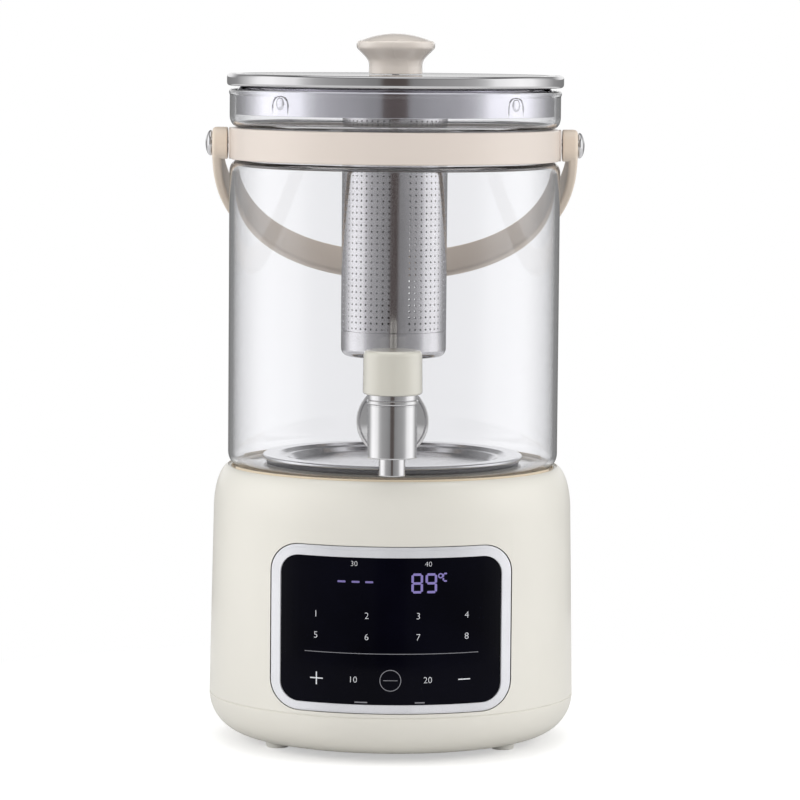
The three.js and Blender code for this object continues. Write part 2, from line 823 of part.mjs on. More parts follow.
/** Plastic band round the neck with two pivot lugs and their bores. */
function handleBand() {
  const bottom = neckBottom + seatGap;
  const top = neckTop - seatGap;
  const inner = neckRadius + bandClearance;
  const band = lathe([
    [inner, bottom],
    [bandRadius - bandEdge, bottom],
    [bandRadius, bottom + bandEdge],
    [bandRadius, top - bandEdge],
    [bandRadius - bandEdge, top],
    [inner, top],
  ]);
  const lugRadius = (top - bottom) / 2;
  const lugs = [-1, 1].map((side) => {
    const length = lugHeight + bandThickness / 2;
    const lug = new THREE.CylinderGeometry(lugRadius, lugRadius, length, fittingSides);
    const x = bandRadius + lugHeight - length / 2;
    return lug.rotateZ(Math.PI / 2).translate(side * x, 0, pivotHeight);
  });
  const bore = pinRadius + shankClearance;
  const drill = new THREE.CylinderGeometry(bore, bore, 2 * (bandRadius + cutOverrun), smallSides);
  return cut(join(band, ...lugs), drill.rotateZ(Math.PI / 2).translate(0, 0, pivotHeight));
}

/** Points of one side of the bail: a leg and half of a superellipse, from the pivot to the far end. */
function bailCurve(halfSpan, reach) {
  const power = 2 / bailRoundness;
  return Array.from({ length: bailSteps + 1 }, (_, i) => {
    const angle = Math.PI * i / bailSteps;
    const x = Math.sign(Math.cos(angle)) * Math.abs(Math.cos(angle)) ** power;
    const y = Math.abs(Math.sin(angle)) ** power;
    return new THREE.Vector2(halfSpan * x, bailLeg + (reach - bailLeg) * y);
  });
}

/** Bail handle: a flat strap bent to a U, with an eye at each end. */
function handleBail() {
  const lean = bailWidth / 2 * Math.sin(bailRestAngle);
  const innerReach = (jarRadius + seatGap + lean) / Math.cos(bailRestAngle);
  const outer = bailCurve(bailHalfSpan, innerReach + bailThickness);
  const inner = bailCurve(bailHalfSpan - bailThickness, innerReach);
  const innerX = bailHalfSpan - bailThickness;
  const corners = [new THREE.Vector2(bailHalfSpan, 0), ...outer, new THREE.Vector2(-bailHalfSpan, 0),
    new THREE.Vector2(-innerX, 0), ...inner.reverse(), new THREE.Vector2(innerX, 0)];
  const strap = new THREE.ExtrudeGeometry(new THREE.Shape(corners), {
    depth: bailWidth - 2 * bailEdge,
    bevelEnabled: true,
    bevelSize: bailEdge,
    bevelOffset: -bailEdge,
    bevelThickness: bailEdge,
    bevelSegments: 1,
  }).translate(0, 0, bailEdge - bailWidth / 2);
  const bossLength = bailThickness + bailBossOverlap;
  const eyes = [-1, 1].map((side) => {
    const eye = new THREE.CylinderGeometry(bailWidth / 2, bailWidth / 2, bossLength, fittingSides);
    return eye.rotateZ(Math.PI / 2).translate(side * (bailHalfSpan - bossLength / 2), 0, 0);
  });
  const bore = pinRadius + shankClearance;
  const drill = new THREE.CylinderGeometry(bore, bore, 2 * (bailHalfSpan + cutOverrun), smallSides);
  return cut(join(strap, ...eyes), drill.rotateZ(Math.PI / 2));
}

/** Pivot pin with a domed head, on the side given by its sign. */
function pivotPin(side) {
  const face = bailHalfSpan + seatGap;
  const tip = bandRadius + lugHeight - pinEngagement;
  const dome = arc(0, face + pinHeadHeight / 2, pinHeadRadius, pinHeadHeight / 2, 0, Math.PI / 2);
  const profile = [[0, tip], [pinRadius, tip], [pinRadius, face], [pinHeadRadius, face], ...dome.slice(0, -1),
    [0, face + pinHeadHeight]];
  return lathe(profile, smallSides).rotateY(side * Math.PI / 2).translate(0, 0, pivotHeight);
}

/** Lid plate: a sheet disc with a thick rolled rim and a hole for the knob screw. */
function lidPlate() {
  const inner = lidRadius - lidHem;
  const hole = knobScrewRadius + shankClearance;
  return lathe([
    [hole, lidUnderside],
    [inner, lidUnderside],
    [inner, lidBottom],
    ...arc(lidRadius - lidEdge, lidBottom + lidEdge, lidEdge, lidEdge, -Math.PI / 2, 0, 1),
    ...arc(lidRadius - lidEdge, lidTop - lidEdge, lidEdge, lidEdge, 0, Math.PI / 2, arcSteps - 1),
    [hole, lidTop],
  ]);
}

/** A slot round three sides of a spring tab, as a solid that crosses the skirt. */
function tabSlotCutter() {
  const arch = (width, height) => {
    const shape = new THREE.Shape();
    shape.moveTo(-width / 2, 0);
    shape.lineTo(width / 2, 0);
    shape.lineTo(width / 2, height - width / 2);
    shape.absarc(0, height - width / 2, width / 2, 0, Math.PI);
    return shape;
  };
  const depth = 2 * cutOverrun;
  const tab = extrude(arch(tabWidth - 2 * tabSlot, tabHeight - tabSlot), depth + cutOverrun);
  const slot = cut(extrude(arch(tabWidth, tabHeight), depth), tab.translate(0, 0, -cutOverrun / 2));
  return slot.translate([0, 0, -cutOverrun]);
}

/** Lid skirt: a thin flanged ring with four sprung tabs, each with a dimple. */
function lidSkirt() {
  const bottom = skirtTop - skirtDepth;
  const inner = skirtRadius - skirtSheet;
  const ringBody = lathe([
    [inner, bottom],
    [skirtRadius, bottom],
    [skirtRadius, skirtTop],
    [inner - skirtFlange, skirtTop],
    [inner - skirtFlange, skirtTop - skirtSheet],
    [inner, skirtTop - skirtSheet],
  ]);
  const angles = [tabAngle, -tabAngle, Math.PI - tabAngle, Math.PI + tabAngle];
  const turn = THREE.MathUtils.radToDeg;
  const slot = tabSlotCutter().rotate([90, 0, 0]).translate([0, -skirtRadius, bottom + tabLift]);
  const slots = angles.map((angle) => slot.rotate([0, 0, turn(angle)]));
  const dimples = angles.map((angle) => {
    const bump = new THREE.SphereGeometry(dimpleRadius, smallSides / 2, smallSides / 4);
    const place = skirtRadius - dimpleRadius + dimpleHeight;
    return solid(bump.translate(0, -place, bottom + tabLift + tabHeight / 2)).rotate([0, 0, turn(angle)]);
  });
  const inside = post(inner + skirtSheet / 2, bottom, skirtTop, bigSides);
  return join(cut(ringBody, ...slots), ...dimples.map((dimple) => cut(dimple, inside)));
}

/** Turned lid knob: a foot, a waist and a mushroom head with a screw bore. */
function lidKnob() {
  const bottom = lidTop + seatGap;
  const rim = bottom + knobRimHeight;
  const neck = bottom + knobNeckHeight;
  const boreTop = bottom + knobScrewLength - knobFootHeight;
  const bore = knobScrewRadius + shankClearance;
  const crownHeight = knobHeight - knobRimHeight - knobRimEdge;
  const crownRadius = knobRadius - knobRimEdge / 2;
  const crown = arc(0, rim + knobRimEdge, crownRadius, crownHeight, 0, Math.PI / 2, arcSteps - 1);
  return lathe([
    [bore, bottom],
    [knobFootRadius, bottom],
    [knobNeckRadius, bottom + knobFootHeight],
    ...ease(knobNeckRadius, neck, knobRadius, rim),
    ...crown.slice(0, -1),
    [0, bottom + knobHeight],
    [0, boreTop],
    [bore, boreTop],
  ], tubeSides);
}

/** Ring under the lid with two inward tabs that carry the infuser's lugs. */
function infuserSocket() {
  const inner = infuserRadius + collarSheet + socketRingPlay;
  const top = lidUnderside - seatGap;
  const bottom = infuserTop - collarHeight;
  const wall = ring(inner, inner + socketRingSheet, bottom, top, tubeSides);
  const lipInner = infuserRadius + collarSheet + seatGap;
  const lip = ring(lipInner, inner + socketRingSheet / 2, bottom, bottom + bayonetTab, tubeSides);
  const tabs = [0, Math.PI].map((angle) => common(lip, sector(bayonetArc, angle, bottom, top)));
  return join(wall, ...tabs);
}

/** A wedge about the axis, as wide as an angle, used to keep a part of a ring. */
function sector(width, angle, bottom, top) {
  const reach = lidRadius;
  const shape = new THREE.Shape();
  const start = angle - width / 2;
  shape.moveTo(0, 0);
  shape.lineTo(reach * Math.cos(start), reach * Math.sin(start));
  shape.absarc(0, 0, reach, start, angle + width / 2);
  return extrude(shape, top - bottom + 2 * cutOverrun).translate(0, 0, bottom - cutOverrun);
}

/** Collar on the infuser tube with two bayonet lugs. */
function infuserCollar() {
  const inner = infuserRadius + seatGap;
  const outer = infuserRadius + collarSheet;
  const bottom = infuserTop - collarHeight + bayonetTab + seatGap;
  const collar = ring(inner, outer, bottom, infuserTop, tubeSides);
  const lugTop = bottom + bayonetHeight;
  const lugRing = ring(outer - collarSheet / 4, outer + bayonetLug, bottom, lugTop, tubeSides);
  const lugs = [0, Math.PI].map((angle) => common(lugRing, sector(bayonetLugArc, angle, bottom, infuserTop)));
  const rolled = ring(infuserRadius - infuserSheet, outer, infuserTop - bayonetLift, infuserTop, tubeSides);
  return join(collar, rolled, ...lugs);
}

/** Perforated infuser tube: a sheet tube with rows of holes, one in every second facet. */
function infuserTube() {
  const bottom = infuserBottom + infuserBandHeight + seatGap;
  const top = infuserTop - bayonetLift - seatGap;
  const tube = ring(infuserRadius - infuserSheet, infuserRadius, bottom, top, tubeSides);
  const facet = 2 * Math.PI / tubeSides;
  const firstRow = bottom + holePitch / 2;
  const holes = [];
  for (let row = 0; row < holeRows; row += 1) {
    for (let column = 0; column < tubeSides; column += 2) {
      const hole = new THREE.CylinderGeometry(holeRadius, holeRadius, 2 * cutOverrun, holeSides);
      hole.translate(0, infuserRadius, 0).rotateZ(facet * (column + 0.5));
      holes.push(solid(hole.translate(0, 0, firstRow + row * holePitch)));
    }
  }
  return holes.reduce((rest, hole) => rest.subtract(hole), solid(tube));
}

/** Pressed cup that closes the infuser, with a spigot inside the tube. */
function infuserBase() {
  const top = infuserBottom + infuserBandHeight;
  const inside = infuserRadius - infuserSheet;
  const spigot = inside - seatGap;
  const flat = infuserRadius - infuserCorner;
  const innerCorner = infuserCorner - infuserSheet;
  const bowl = spigot - spigotSheet;
  return lathe([
    [0, infuserBottom],
    ...arc(flat, infuserBottom + infuserCorner, infuserCorner, infuserCorner, -Math.PI / 2, 0, arcSteps - 1),
    [infuserRadius, top],
    [spigot, top],
    [spigot, top + spigotHeight],
    [bowl, top + spigotHeight],
    [bowl, infuserBottom + infuserCorner],
    [flat, infuserBottom + infuserCorner - innerCorner],
    [0, infuserBottom + infuserCorner - innerCorner],
  ], tubeSides);
}

/** Turned tap body: upright barrel, arm and threaded shank, with its bores. */
function tapBody() {
  const face = -jarRadius - tapGasketThickness - 2 * seatGap - tapFlangeThickness - seatGap;
  const shankEnd = tapGasketSeat() + tapInnerGasketThickness + tapNutThickness + tapShankTail;
  const barrel = post(tapBodyRadius, tapBottom, tapTop, fittingSides).translate(0, -tapAxis, 0);
  const arm = rod(tapArmRadius, -tapAxis, face, tapHeight, smallSides);
  const shank = rod(tapShankRadius, face - tapArmRadius, shankEnd, tapHeight, smallSides);
  const waterway = rod(tapBore, -tapAxis, shankEnd + cutOverrun, tapHeight, smallSides / 2);
  const chamber = valveRadius + valveClearance;
  const valveSeat = post(chamber, tapBottom + valveFloor, tapTop + cutOverrun, fittingSides);
  const outlet = spoutSpigot + seatGap;
  const mouth = post(outlet, tapBottom - cutOverrun, tapBottom + valveFloor + seatGap, fittingSides);
  const upright = [valveSeat, mouth].map((bore) => bore.translate(0, -tapAxis, 0));
  return cut(join(barrel, arm, shank), waterway, ...upright);
}

/** Place on Y of the flat face that the inner gasket gives the nut, measured at the jar's inner wall. */
function tapGasketSeat() {
  return jarWall - jarRadius + seatGap;
}

/** Round flange between the tap's arm and the glass. */
function tapFlange() {
  const back = jarRadius + tapGasketThickness + 2 * seatGap;
  const front = back + tapFlangeThickness;
  const profile = [
    [tapShankRadius + shankClearance, back],
    [tapFlangeRadius, back],
    [tapFlangeRadius, front - tapFlangeEdge],
    [tapFlangeRadius - tapFlangeEdge, front - tapFlangeEdge / 2],
    [tapFlangeHub, front],
    [tapShankRadius + shankClearance, front],
  ];
  return lathe(profile, fittingSides).rotateX(Math.PI / 2).translate(0, 0, tapHeight);
}

/** Silicone gasket under the flange, hollowed to the jar's round wall. */
function tapOuterGasket() {
  const front = -jarRadius - tapGasketThickness - seatGap;
  const depth = tapGasketRadius / 2;
  const disc = rod(tapGasketRadius, front, front + depth, tapHeight, fittingSides);
  const boreEnd = front + depth + cutOverrun;
  const bore = rod(tapShankRadius + shankClearance, front - cutOverrun, boreEnd, tapHeight);
  return cut(disc, bore, jarRoundWall(jarRadius + seatGap));
}

/** Upright cylinder of the jar's round wall near the tap. */
function jarRoundWall(radius) {
  const low = tapHeight - tapFlangeRadius - cutOverrun;
  const high = tapHeight + tapFlangeRadius + cutOverrun;
  return lathe([[0, low], [radius, low], [radius, high], [0, high]]);
}

/** Silicone gasket inside the jar, rounded to its inner wall. */
function tapInnerGasket() {
  const back = tapGasketSeat() + tapInnerGasketThickness;
  const disc = rod(tapInnerGasketRadius, back - tapInnerGasketRadius, back, tapHeight, fittingSides);
  const bore = rod(tapShankRadius + shankClearance, back - tapGasketRadius, back + cutOverrun, tapHeight);
  return cut(common(disc, jarRoundWall(jarRadius - jarWall - seatGap)), bore);
}

/** Hexagon nut on the shank inside the jar. */
function tapNut() {
  const front = tapGasketSeat() + tapInnerGasketThickness + seatGap;
  const corner = tapNutFlats / 2 / Math.cos(Math.PI / 6);
  const hexagon = rod(corner, front, front + tapNutThickness, tapHeight, 6);
  const boreEnd = front + tapNutThickness + cutOverrun;
  const bore = rod(tapShankRadius + shankClearance, front - cutOverrun, boreEnd, tapHeight);
  return cut(hexagon, bore);
}

/** Spout tube under the barrel, with a spigot in its mouth. */
function tapSpout() {
  const top = tapBottom - seatGap;
  const bottom = top - spoutLength;
  return lathe([
    [spoutBore, bottom],
    [spoutRadius - spoutEdge, bottom],
    [spoutRadius, bottom + spoutEdge],
    [spoutRadius, top],
    [spoutSpigot, top],
    [spoutSpigot, top + spoutSpigotHeight],
    [spoutBore, top + spoutSpigotHeight],
  ], fittingSides).translate(0, -tapAxis, 0);
}

/** Bonnet ring that closes the barrel round the spindle, with a groove round its lower part. */
function tapBonnet() {
  const groove = bonnetBottom + bonnetHeight * bonnetGrooveShare;
  const bore = spindleRadius + shankClearance;
  return lathe([
    [bore, bonnetBottom],
    [tapBodyRadius, bonnetBottom],
    [tapBodyRadius, groove - bonnetGroove],
    [tapBodyRadius - bonnetGroove, groove],
    [bonnetRadius, groove + bonnetGroove],
    [bonnetRadius, bonnetTop],
    [bore, bonnetTop],
  ], fittingSides).translate(0, -tapAxis, 0);
}

/** Valve plug and spindle, about its own axis: a bored cone seat with one side port, shut at rest. */
function valvePlug() {
  const body = lathe([
    [0, valveBottom],
    [valveRadius, valveBottom],
    [valveRadius, valveTop],
    [spindleRadius, valveTop],
    [spindleRadius, valveTop + spindleHeight],
    [0, valveTop + spindleHeight],
  ], fittingSides);
  const bore = post(valveBore, valveBottom - cutOverrun, valveTop - valveRoof, smallSides);
  const length = valveRadius + cutOverrun;
  const port = new THREE.CylinderGeometry(valvePort, valvePort, length, smallSides);
  return cut(body, bore, port.rotateZ(Math.PI / 2).translate(length / 2, 0, tapHeight));
}

/** Round tap knob about its own axis, with a blind bore for the spindle. */
function tapKnob() {
  const bottom = bonnetTop + seatGap;
  const top = bottom + tapKnobHeight;
  const bore = spindleRadius + shankClearance;
  const boreTop = top - tapKnobWeb;
  const corner = tapKnobRadius - tapKnobEdge;
  return lathe([
    [bore, bottom],
    [tapKnobRadius - tapKnobDraft, bottom],
    ...arc(corner, top - tapKnobEdge, tapKnobEdge, tapKnobEdge, 0, Math.PI / 2, arcSteps - 1),
    [0, top],
    [0, boreTop],
    [bore, boreTop],
  ], fittingSides);
}

/** Everything that stays on the table: the powered base. */
function baseGroup() {
  const group = new THREE.Group();
  const seatGasketTop = seatGasketBottom + seatGasketThickness;
  const seatGasket = ring(seatGasketInner, seatGasketOuter, seatGasketBottom, seatGasketTop);
  group.add(
    piece('base_tray', baseTray(), ivory),
    piece('base_housing', baseHousing(), ivory),
    piece('panel_bezel', panelBezel(), silver),
    piece('touch_glass', touchGlass(), blackGlass),
    piece('display_carrier', displayCarrier(), blackPlastic),
    piece('display_board', displayBoard(), boardGreen),
    piece('digit_display', digitDisplay(), blackPlastic),
    piece('power_board', powerBoard(), boardGreen),
    piece('base_socket', baseSocket(), blackPlastic),
    piece('cord_inlet', cordInlet(), ivory),
    piece('seat_gasket', seatGasket, tanSilicone));
  footPlaces().forEach(([x, y], i) => {
    const rubber = piece(`foot_${i + 1}`, foot(), footRubber);
    const fixing = piece(`tray_screw_${i + 1}`,
      screw(trayBottom, screwHeadRadius, screwHeadHeight, screwRadius, screwLength), steel);
    rubber.position.set(x, y, 0);
    fixing.position.set(x, y, 0);
    group.add(rubber, fixing);
  });
  return group;
}

/** Everything that lifts off with the jug. */
function jugGroup() {
  const group = new THREE.Group();
  const gasketOuter = plateRadius - plateGasketInset;
  const clampInner = plateSkirtRadius + shankClearance;
  const plateGasketTop = plateGasketBottom + plateGasketThickness;
  const clampGasketBottom = clampGasketTop - clampGasketThickness;
  const plateGasket = ring(clampInner, gasketOuter, plateGasketBottom, plateGasketTop, tubeSides);
  const clampGasket = ring(clampInner, clampRadius, clampGasketBottom, clampGasketTop, tubeSides);
  group.add(
    piece('glass_jar', glassJar(), clearGlass),
    piece('heating_plate', heatingPlate(), polishedSteel),
    piece('plate_gasket', plateGasket, greySilicone),
    piece('clamp_gasket', clampGasket, greySilicone),
    piece('clamp_ring', clampRing(), steel),
    piece('heating_element', heatingElement(), steel),
    piece('temperature_sensor', temperatureSensor(), steel),
    piece('jug_cup', jugCup(), ivory),
    piece('jug_plug', jugPlug(), blackPlastic),
    piece('handle_band', handleBand(), beige),
    piece('pivot_pin_left', pivotPin(-1), polishedSteel),
    piece('pivot_pin_right', pivotPin(1), polishedSteel),
    tapGroup(),
    bailGroup());
  return group;
}

/** The tap: fixed pieces through the jar's wall, and the turning knob with its valve. */
function tapGroup() {
  const group = new THREE.Group();
  const valve = piece('valve_plug', valvePlug(), polishedSteel);
  const knob = piece('tap_knob', tapKnob(), ivory);
  valve.position.y = -tapAxis;
  knob.position.y = -tapAxis;
  group.add(
    piece('tap_body', tapBody(), polishedSteel),
    piece('tap_flange', tapFlange(), polishedSteel),
    piece('tap_outer_gasket', tapOuterGasket(), greySilicone),
    piece('tap_inner_gasket', tapInnerGasket(), greySilicone),
    piece('tap_nut', tapNut(), steel),
    piece('tap_spout', tapSpout(), polishedSteel),
    piece('tap_bonnet', tapBonnet(), polishedSteel),
    valve,
    knob);
  return group;
}

/** The bail handle, leaning back against the jar. */
function bailGroup() {
  const bail = piece('handle_bail', handleBail(), beige);
  bail.position.z = pivotHeight;
  bail.rotation.x = -bailRestAngle;
  return bail;
}

/** The lid with its knob and the infuser that hangs from it. */
function lidGroup() {
  const group = new THREE.Group();
  const washerTop = lidUnderside - seatGap;
  const washerBottom = washerTop - washerThickness;
  const headBottom = washerBottom - seatGap - knobScrewHeadHeight;
  const washer = ring(knobScrewRadius + shankClearance, washerRadius, washerBottom, washerTop, smallSides);
  const knobScrew = screw(headBottom, knobScrewHead, knobScrewHeadHeight, knobScrewRadius,
    knobScrewHeadHeight + knobScrewLength);
  group.add(
    piece('lid_plate', lidPlate(), polishedSteel),
    piece('lid_skirt', lidSkirt(), steel),
    piece('lid_knob', lidKnob(), ivory),
    piece('knob_washer', washer, steel),
    piece('knob_screw', knobScrew, steel),
    piece('infuser_socket', infuserSocket(), steel),
    piece('infuser_collar', infuserCollar(), steel),
    piece('infuser_tube', infuserTube(), steel),
    piece('infuser_base', infuserBase(), steel));
  return group;
}

const kettle = new THREE.Group();
kettle.add(baseGroup(), jugGroup(), lidGroup());
kettle.updateMatrixWorld(true);
const outline = new THREE.Box3().setFromObject(kettle, true);
const middle = outline.getCenter(new THREE.Vector3());
kettle.position.set(-middle.x, -middle.y, -outline.min.z);
kettle.updateMatrixWorld(true);

export default kettle;
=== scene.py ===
"""Looks of an electric tea kettle: glass jug with tap, infuser and bail, on a powered base."""
import json
import math

import bpy
from mathutils import Matrix, Vector


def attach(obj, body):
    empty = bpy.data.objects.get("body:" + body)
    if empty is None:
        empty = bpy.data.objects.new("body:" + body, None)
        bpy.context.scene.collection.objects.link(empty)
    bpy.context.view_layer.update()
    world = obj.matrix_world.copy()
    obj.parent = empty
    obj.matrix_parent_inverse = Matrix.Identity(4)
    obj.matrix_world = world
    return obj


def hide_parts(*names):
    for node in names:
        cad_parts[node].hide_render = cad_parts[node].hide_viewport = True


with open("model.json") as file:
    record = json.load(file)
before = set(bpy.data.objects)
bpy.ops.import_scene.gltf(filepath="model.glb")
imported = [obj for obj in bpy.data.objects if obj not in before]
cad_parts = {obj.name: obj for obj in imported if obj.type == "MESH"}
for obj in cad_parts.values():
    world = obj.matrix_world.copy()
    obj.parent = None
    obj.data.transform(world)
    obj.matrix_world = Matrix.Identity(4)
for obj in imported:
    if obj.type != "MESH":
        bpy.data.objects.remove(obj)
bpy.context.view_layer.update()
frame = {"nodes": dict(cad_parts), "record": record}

# Lengths below are in millimetres, and MM turns them into Blender's metres.
MM = 0.001

# Places that the CAD fixes
JUG_Y = 22.865
TAP_Y = JUG_Y - 127.0
TAP_Z = 167.9
PIVOT_Z = 298.6
FOOT_RING = 66.0
FOOT_ANGLE = math.radians(58)
BAIL_LEAN = 36.3
GLAND_Z = 34.9
JAR_RADIUS = 82.6

# Facets round a turned piece, from the finest to the coarsest
FORMER_ROUND = 384
FINE_ROUND = 256
WIDE_ROUND = 192
ROUND = 160
SMALL_ROUND = 96
EYE_ROUND = 80
THIN_ROUND = 64
LEAST_ROUND = 48

ORIGIN = (0, 0)

# Profile points closer than this become one
MERGE_WITHIN = 0.002
# Depth at which flat pieces for the front stand before they are laid on the wall
IN_FRONT = -90


# ---- shapes of profiles

def bow(centre_r, centre_z, radius_r, radius_z, start, end, steps=10):
    """Points on an ellipse in a turned profile, from one angle in degrees to another."""
    angles = [math.radians(start + (end - start) * i / steps) for i in range(steps + 1)]
    return [(centre_r + radius_r * math.cos(a), centre_z + radius_z * math.sin(a)) for a in angles]


def step(start, end, steps=12):
    """Points of a smooth S from one radius and height to another."""
    points = []
    for i in range(steps + 1):
        share = i / steps
        blend = (1 - math.cos(math.pi * share)) / 2
        points.append((start[0] + (end[0] - start[0]) * blend,
                       start[1] + (end[1] - start[1]) * share))
    return points


def flowing(points, steps=6):
    """A smooth curve through the points, so a turned outline has no corners."""
    ends = [points[0]] + list(points) + [points[-1]]
    curve = []
    for a, b, c, d in zip(ends, ends[1:], ends[2:], ends[3:]):
        for i in range(steps):
            t = i / steps
            curve.append(tuple(
                0.5 * (2 * q + (r - p) * t + (2 * p - 5 * q + 4 * r - s) * t * t
                       + (3 * q - p - 3 * r + s) * t ** 3)
                for p, q, r, s in zip(a, b, c, d)))
    return curve + [tuple(points[-1])]


def soften(corners, steps=4):
    """Rounds each corner of a profile; a corner is (radius, height) or (radius, height, fillet)."""
    count = len(corners)
    outline = []
    for i, corner in enumerate(corners):
        here = Vector(corner[:2])
        fillet = corner[2] if len(corner) > 2 else 0
        if fillet == 0:
            outline.append(tuple(here))
            continue
        back = Vector(corners[i - 1][:2]) - here
        ahead = Vector(corners[(i + 1) % count][:2]) - here
        half = back.angle(ahead) / 2
        run = min(fillet / math.tan(half), 0.49 * back.length, 0.49 * ahead.length)
        first = here + back.normalized() * run
        last = here + ahead.normalized() * run
        for k in range(steps + 1):
            t = k / steps
            outline.append(tuple((1 - t) ** 2 * first + 2 * t * (1 - t) * here + t * t * last))
    return outline


# ---- modelling helpers

def deselect():
    bpy.ops.object.select_all(action="DESELECT")


def make_active(piece):
    deselect()
    piece.select_set(True)
    bpy.context.view_layer.objects.active = piece


def named(piece, name):
    piece.name = name
    piece.data.name = name
    return piece


def open_mesh(piece, select="SELECT", element=None):
    """Opens a piece in edit mode with all of it or none of it selected."""
    make_active(piece)
    bpy.ops.object.mode_set(mode="EDIT")
    if element:
        bpy.ops.mesh.select_mode(type=element)
    select_whole(select)


def select_whole(action="SELECT"):
    bpy.ops.mesh.select_all(action=action)


def close_mesh():
    bpy.ops.object.mode_set(mode="OBJECT")


def one_point(name):
    """A new piece in edit mode, holding one vertex at the origin."""
    deselect()
    bpy.ops.mesh.primitive_plane_add(size=MM)
    piece = named(bpy.context.object, name)
    open_mesh(piece, element="VERT")
    bpy.ops.mesh.merge(type="CENTER")
    return piece


def flat_plate(name, width, height):
    """A flat rectangle about the origin."""
    deselect()
    bpy.ops.mesh.primitive_plane_add(size=1)
    plate = named(bpy.context.object, name)
    plate.scale = (width * MM, height * MM, 1)
    return place(plate)


def draw_line(points):
    """Extrudes the selected vertex through points given in millimetres."""
    place = Vector((0, 0, 0))
    for i, point in enumerate(points):
        target = Vector(point) * MM
        move = {"value": tuple(target - place)}
        if i == 0:
            bpy.ops.transform.translate(**move)
        else:
            bpy.ops.mesh.extrude_vertices_move(TRANSFORM_OT_translate=move)
        place = target


def close_up():
    """Merges doubles, points the faces outwards and leaves edit mode."""
    select_whole()
    bpy.ops.mesh.remove_doubles(threshold=MERGE_WITHIN * MM)
    bpy.ops.mesh.normals_make_consistent(inside=False)
    close_mesh()


def smooth(piece, degrees=35):
    make_active(piece)
    bpy.ops.object.shade_smooth_by_angle(angle=math.radians(degrees))
    return modify(piece, "WEIGHTED_NORMAL", keep_sharp=True)


def place(piece, location=(0, 0, 0), turn=(0, 0, 0)):
    """Puts a piece in its place, in millimetres and degrees, and writes that into its mesh."""
    make_active(piece)
    piece.rotation_euler = [math.radians(angle) for angle in turn]
    piece.location = Vector(location) * MM
    bpy.ops.object.transform_apply()
    return piece


def modify(piece, kind, **values):
    """Adds a modifier, sets it up and applies it."""
    make_active(piece)
    modifier = piece.modifiers.new(kind.title(), kind)
    for name, value in values.items():
        setattr(modifier, name, value)
    bpy.ops.object.modifier_apply(modifier=modifier.name)
    return piece


def round_edges(piece, width, segments, degrees=50):
    """Rounds the edges that are sharper than an angle."""
    return modify(piece, "BEVEL", width=width * MM, segments=segments, limit_method="ANGLE",
                  angle_limit=math.radians(degrees))


def thicken(piece, thickness, offset=0, **values):
    return modify(piece, "SOLIDIFY", thickness=thickness * MM, offset=offset, **values)


def turned(name, corners, sides=ROUND, axis=(0, JUG_Y), steps=4, closed=True):
    """Spins a profile about an upright axis, with its corners rounded as `soften` says."""
    piece = one_point(name)
    points = [(radius, 0, height) for radius, height in soften(corners, steps)]
    if closed and points[0][0] > 0:
        points.append(points[0])
    draw_line(points)
    select_whole()
    bpy.ops.mesh.spin(steps=sides, angle=2 * math.pi, center=(0, 0, 0), axis=(0, 0, 1))
    close_up()
    place(piece, (axis[0], axis[1], 0))
    return smooth(piece)


def remove(*pieces):
    for piece in pieces:
        bpy.data.objects.remove(piece)


def cut(piece, *cutters):
    """Takes the cutters out of a piece."""
    for cutter in cutters:
        modify(piece, "BOOLEAN", object=cutter, operation="DIFFERENCE", solver="EXACT")
        remove(cutter)
    return piece


def add_shell(piece, *others):
    """Joins other closed shells to a piece as one object."""
    deselect()
    for other in others:
        other.select_set(True)
    piece.select_set(True)
    bpy.context.view_layer.objects.active = piece
    bpy.ops.object.join()
    return piece


def cylinder(name, radius, length, location, turn=(0, 0, 0), sides=SMALL_ROUND):
    deselect()
    bpy.ops.mesh.primitive_cylinder_add(vertices=sides, radius=radius * MM, depth=length * MM)
    piece = bpy.context.object
    piece.name = name
    return place(piece, location, turn)


def add_to_scene(name, data):
    item = bpy.data.objects.new(name, data)
    bpy.context.scene.collection.objects.link(item)
    return item


def copy_of(piece, name):
    """A copy with its own mesh."""
    twin = piece.copy()
    twin.data = piece.data.copy()
    bpy.context.scene.collection.objects.link(twin)
    return named(twin, name)


# ---- finishes

def new_finish(name):
    material = bpy.data.materials.new(name)
    material.use_nodes = True
    return material, material.node_tree.nodes


def link(source, socket):
    socket.id_data.links.new(source, socket)


def surface_coordinates(nodes, centre=(0, 0), stretch=(1, 1, 1)):
    """Object coordinates, centred on an upright axis and stretched."""
    source = nodes.new("ShaderNodeTexCoord")
    mapping = nodes.new("ShaderNodeMapping")
    shift = (-centre[0] * MM * stretch[0], -centre[1] * MM * stretch[1], 0)
    set_inputs(mapping, {"Location": shift, "Scale": stretch})
    link(source.outputs["Object"], mapping.inputs["Vector"])
    return mapping.outputs["Vector"]


def grain(nodes, vector, scale, detail=4):
    noise = nodes.new("ShaderNodeTexNoise")
    set_inputs(noise, {"Scale": scale, "Detail": detail})
    link(vector, noise.inputs["Vector"])
    return noise.outputs["Fac"]


def set_inputs(node, values):
    """Sets constant numbers and colours on a node's sockets."""
    for socket, value in values.items():
        node.inputs[socket].default_value = value


def ramp_of(nodes, factor, stops):
    """A ramp; a stop is (position, grey) or (position, (red, green, blue))."""
    node = nodes.new("ShaderNodeValToRGB")
    ramp = node.color_ramp
    while len(ramp.elements) < len(stops):
        ramp.elements.new(0.5)
    for element, (position, value) in zip(ramp.elements, stops):
        element.position = position
        element.color = (*value, 1) if isinstance(value, tuple) else (value, value, value, 1)
    link(factor, node.inputs["Fac"])
    return node.outputs["Color"]


def blended(nodes, factor, first, second):
    mix = nodes.new("ShaderNodeMixShader")
    link(factor, mix.inputs["Fac"])
    link(first, mix.inputs[1])
    link(second, mix.inputs[2])
    return mix.outputs["Shader"]


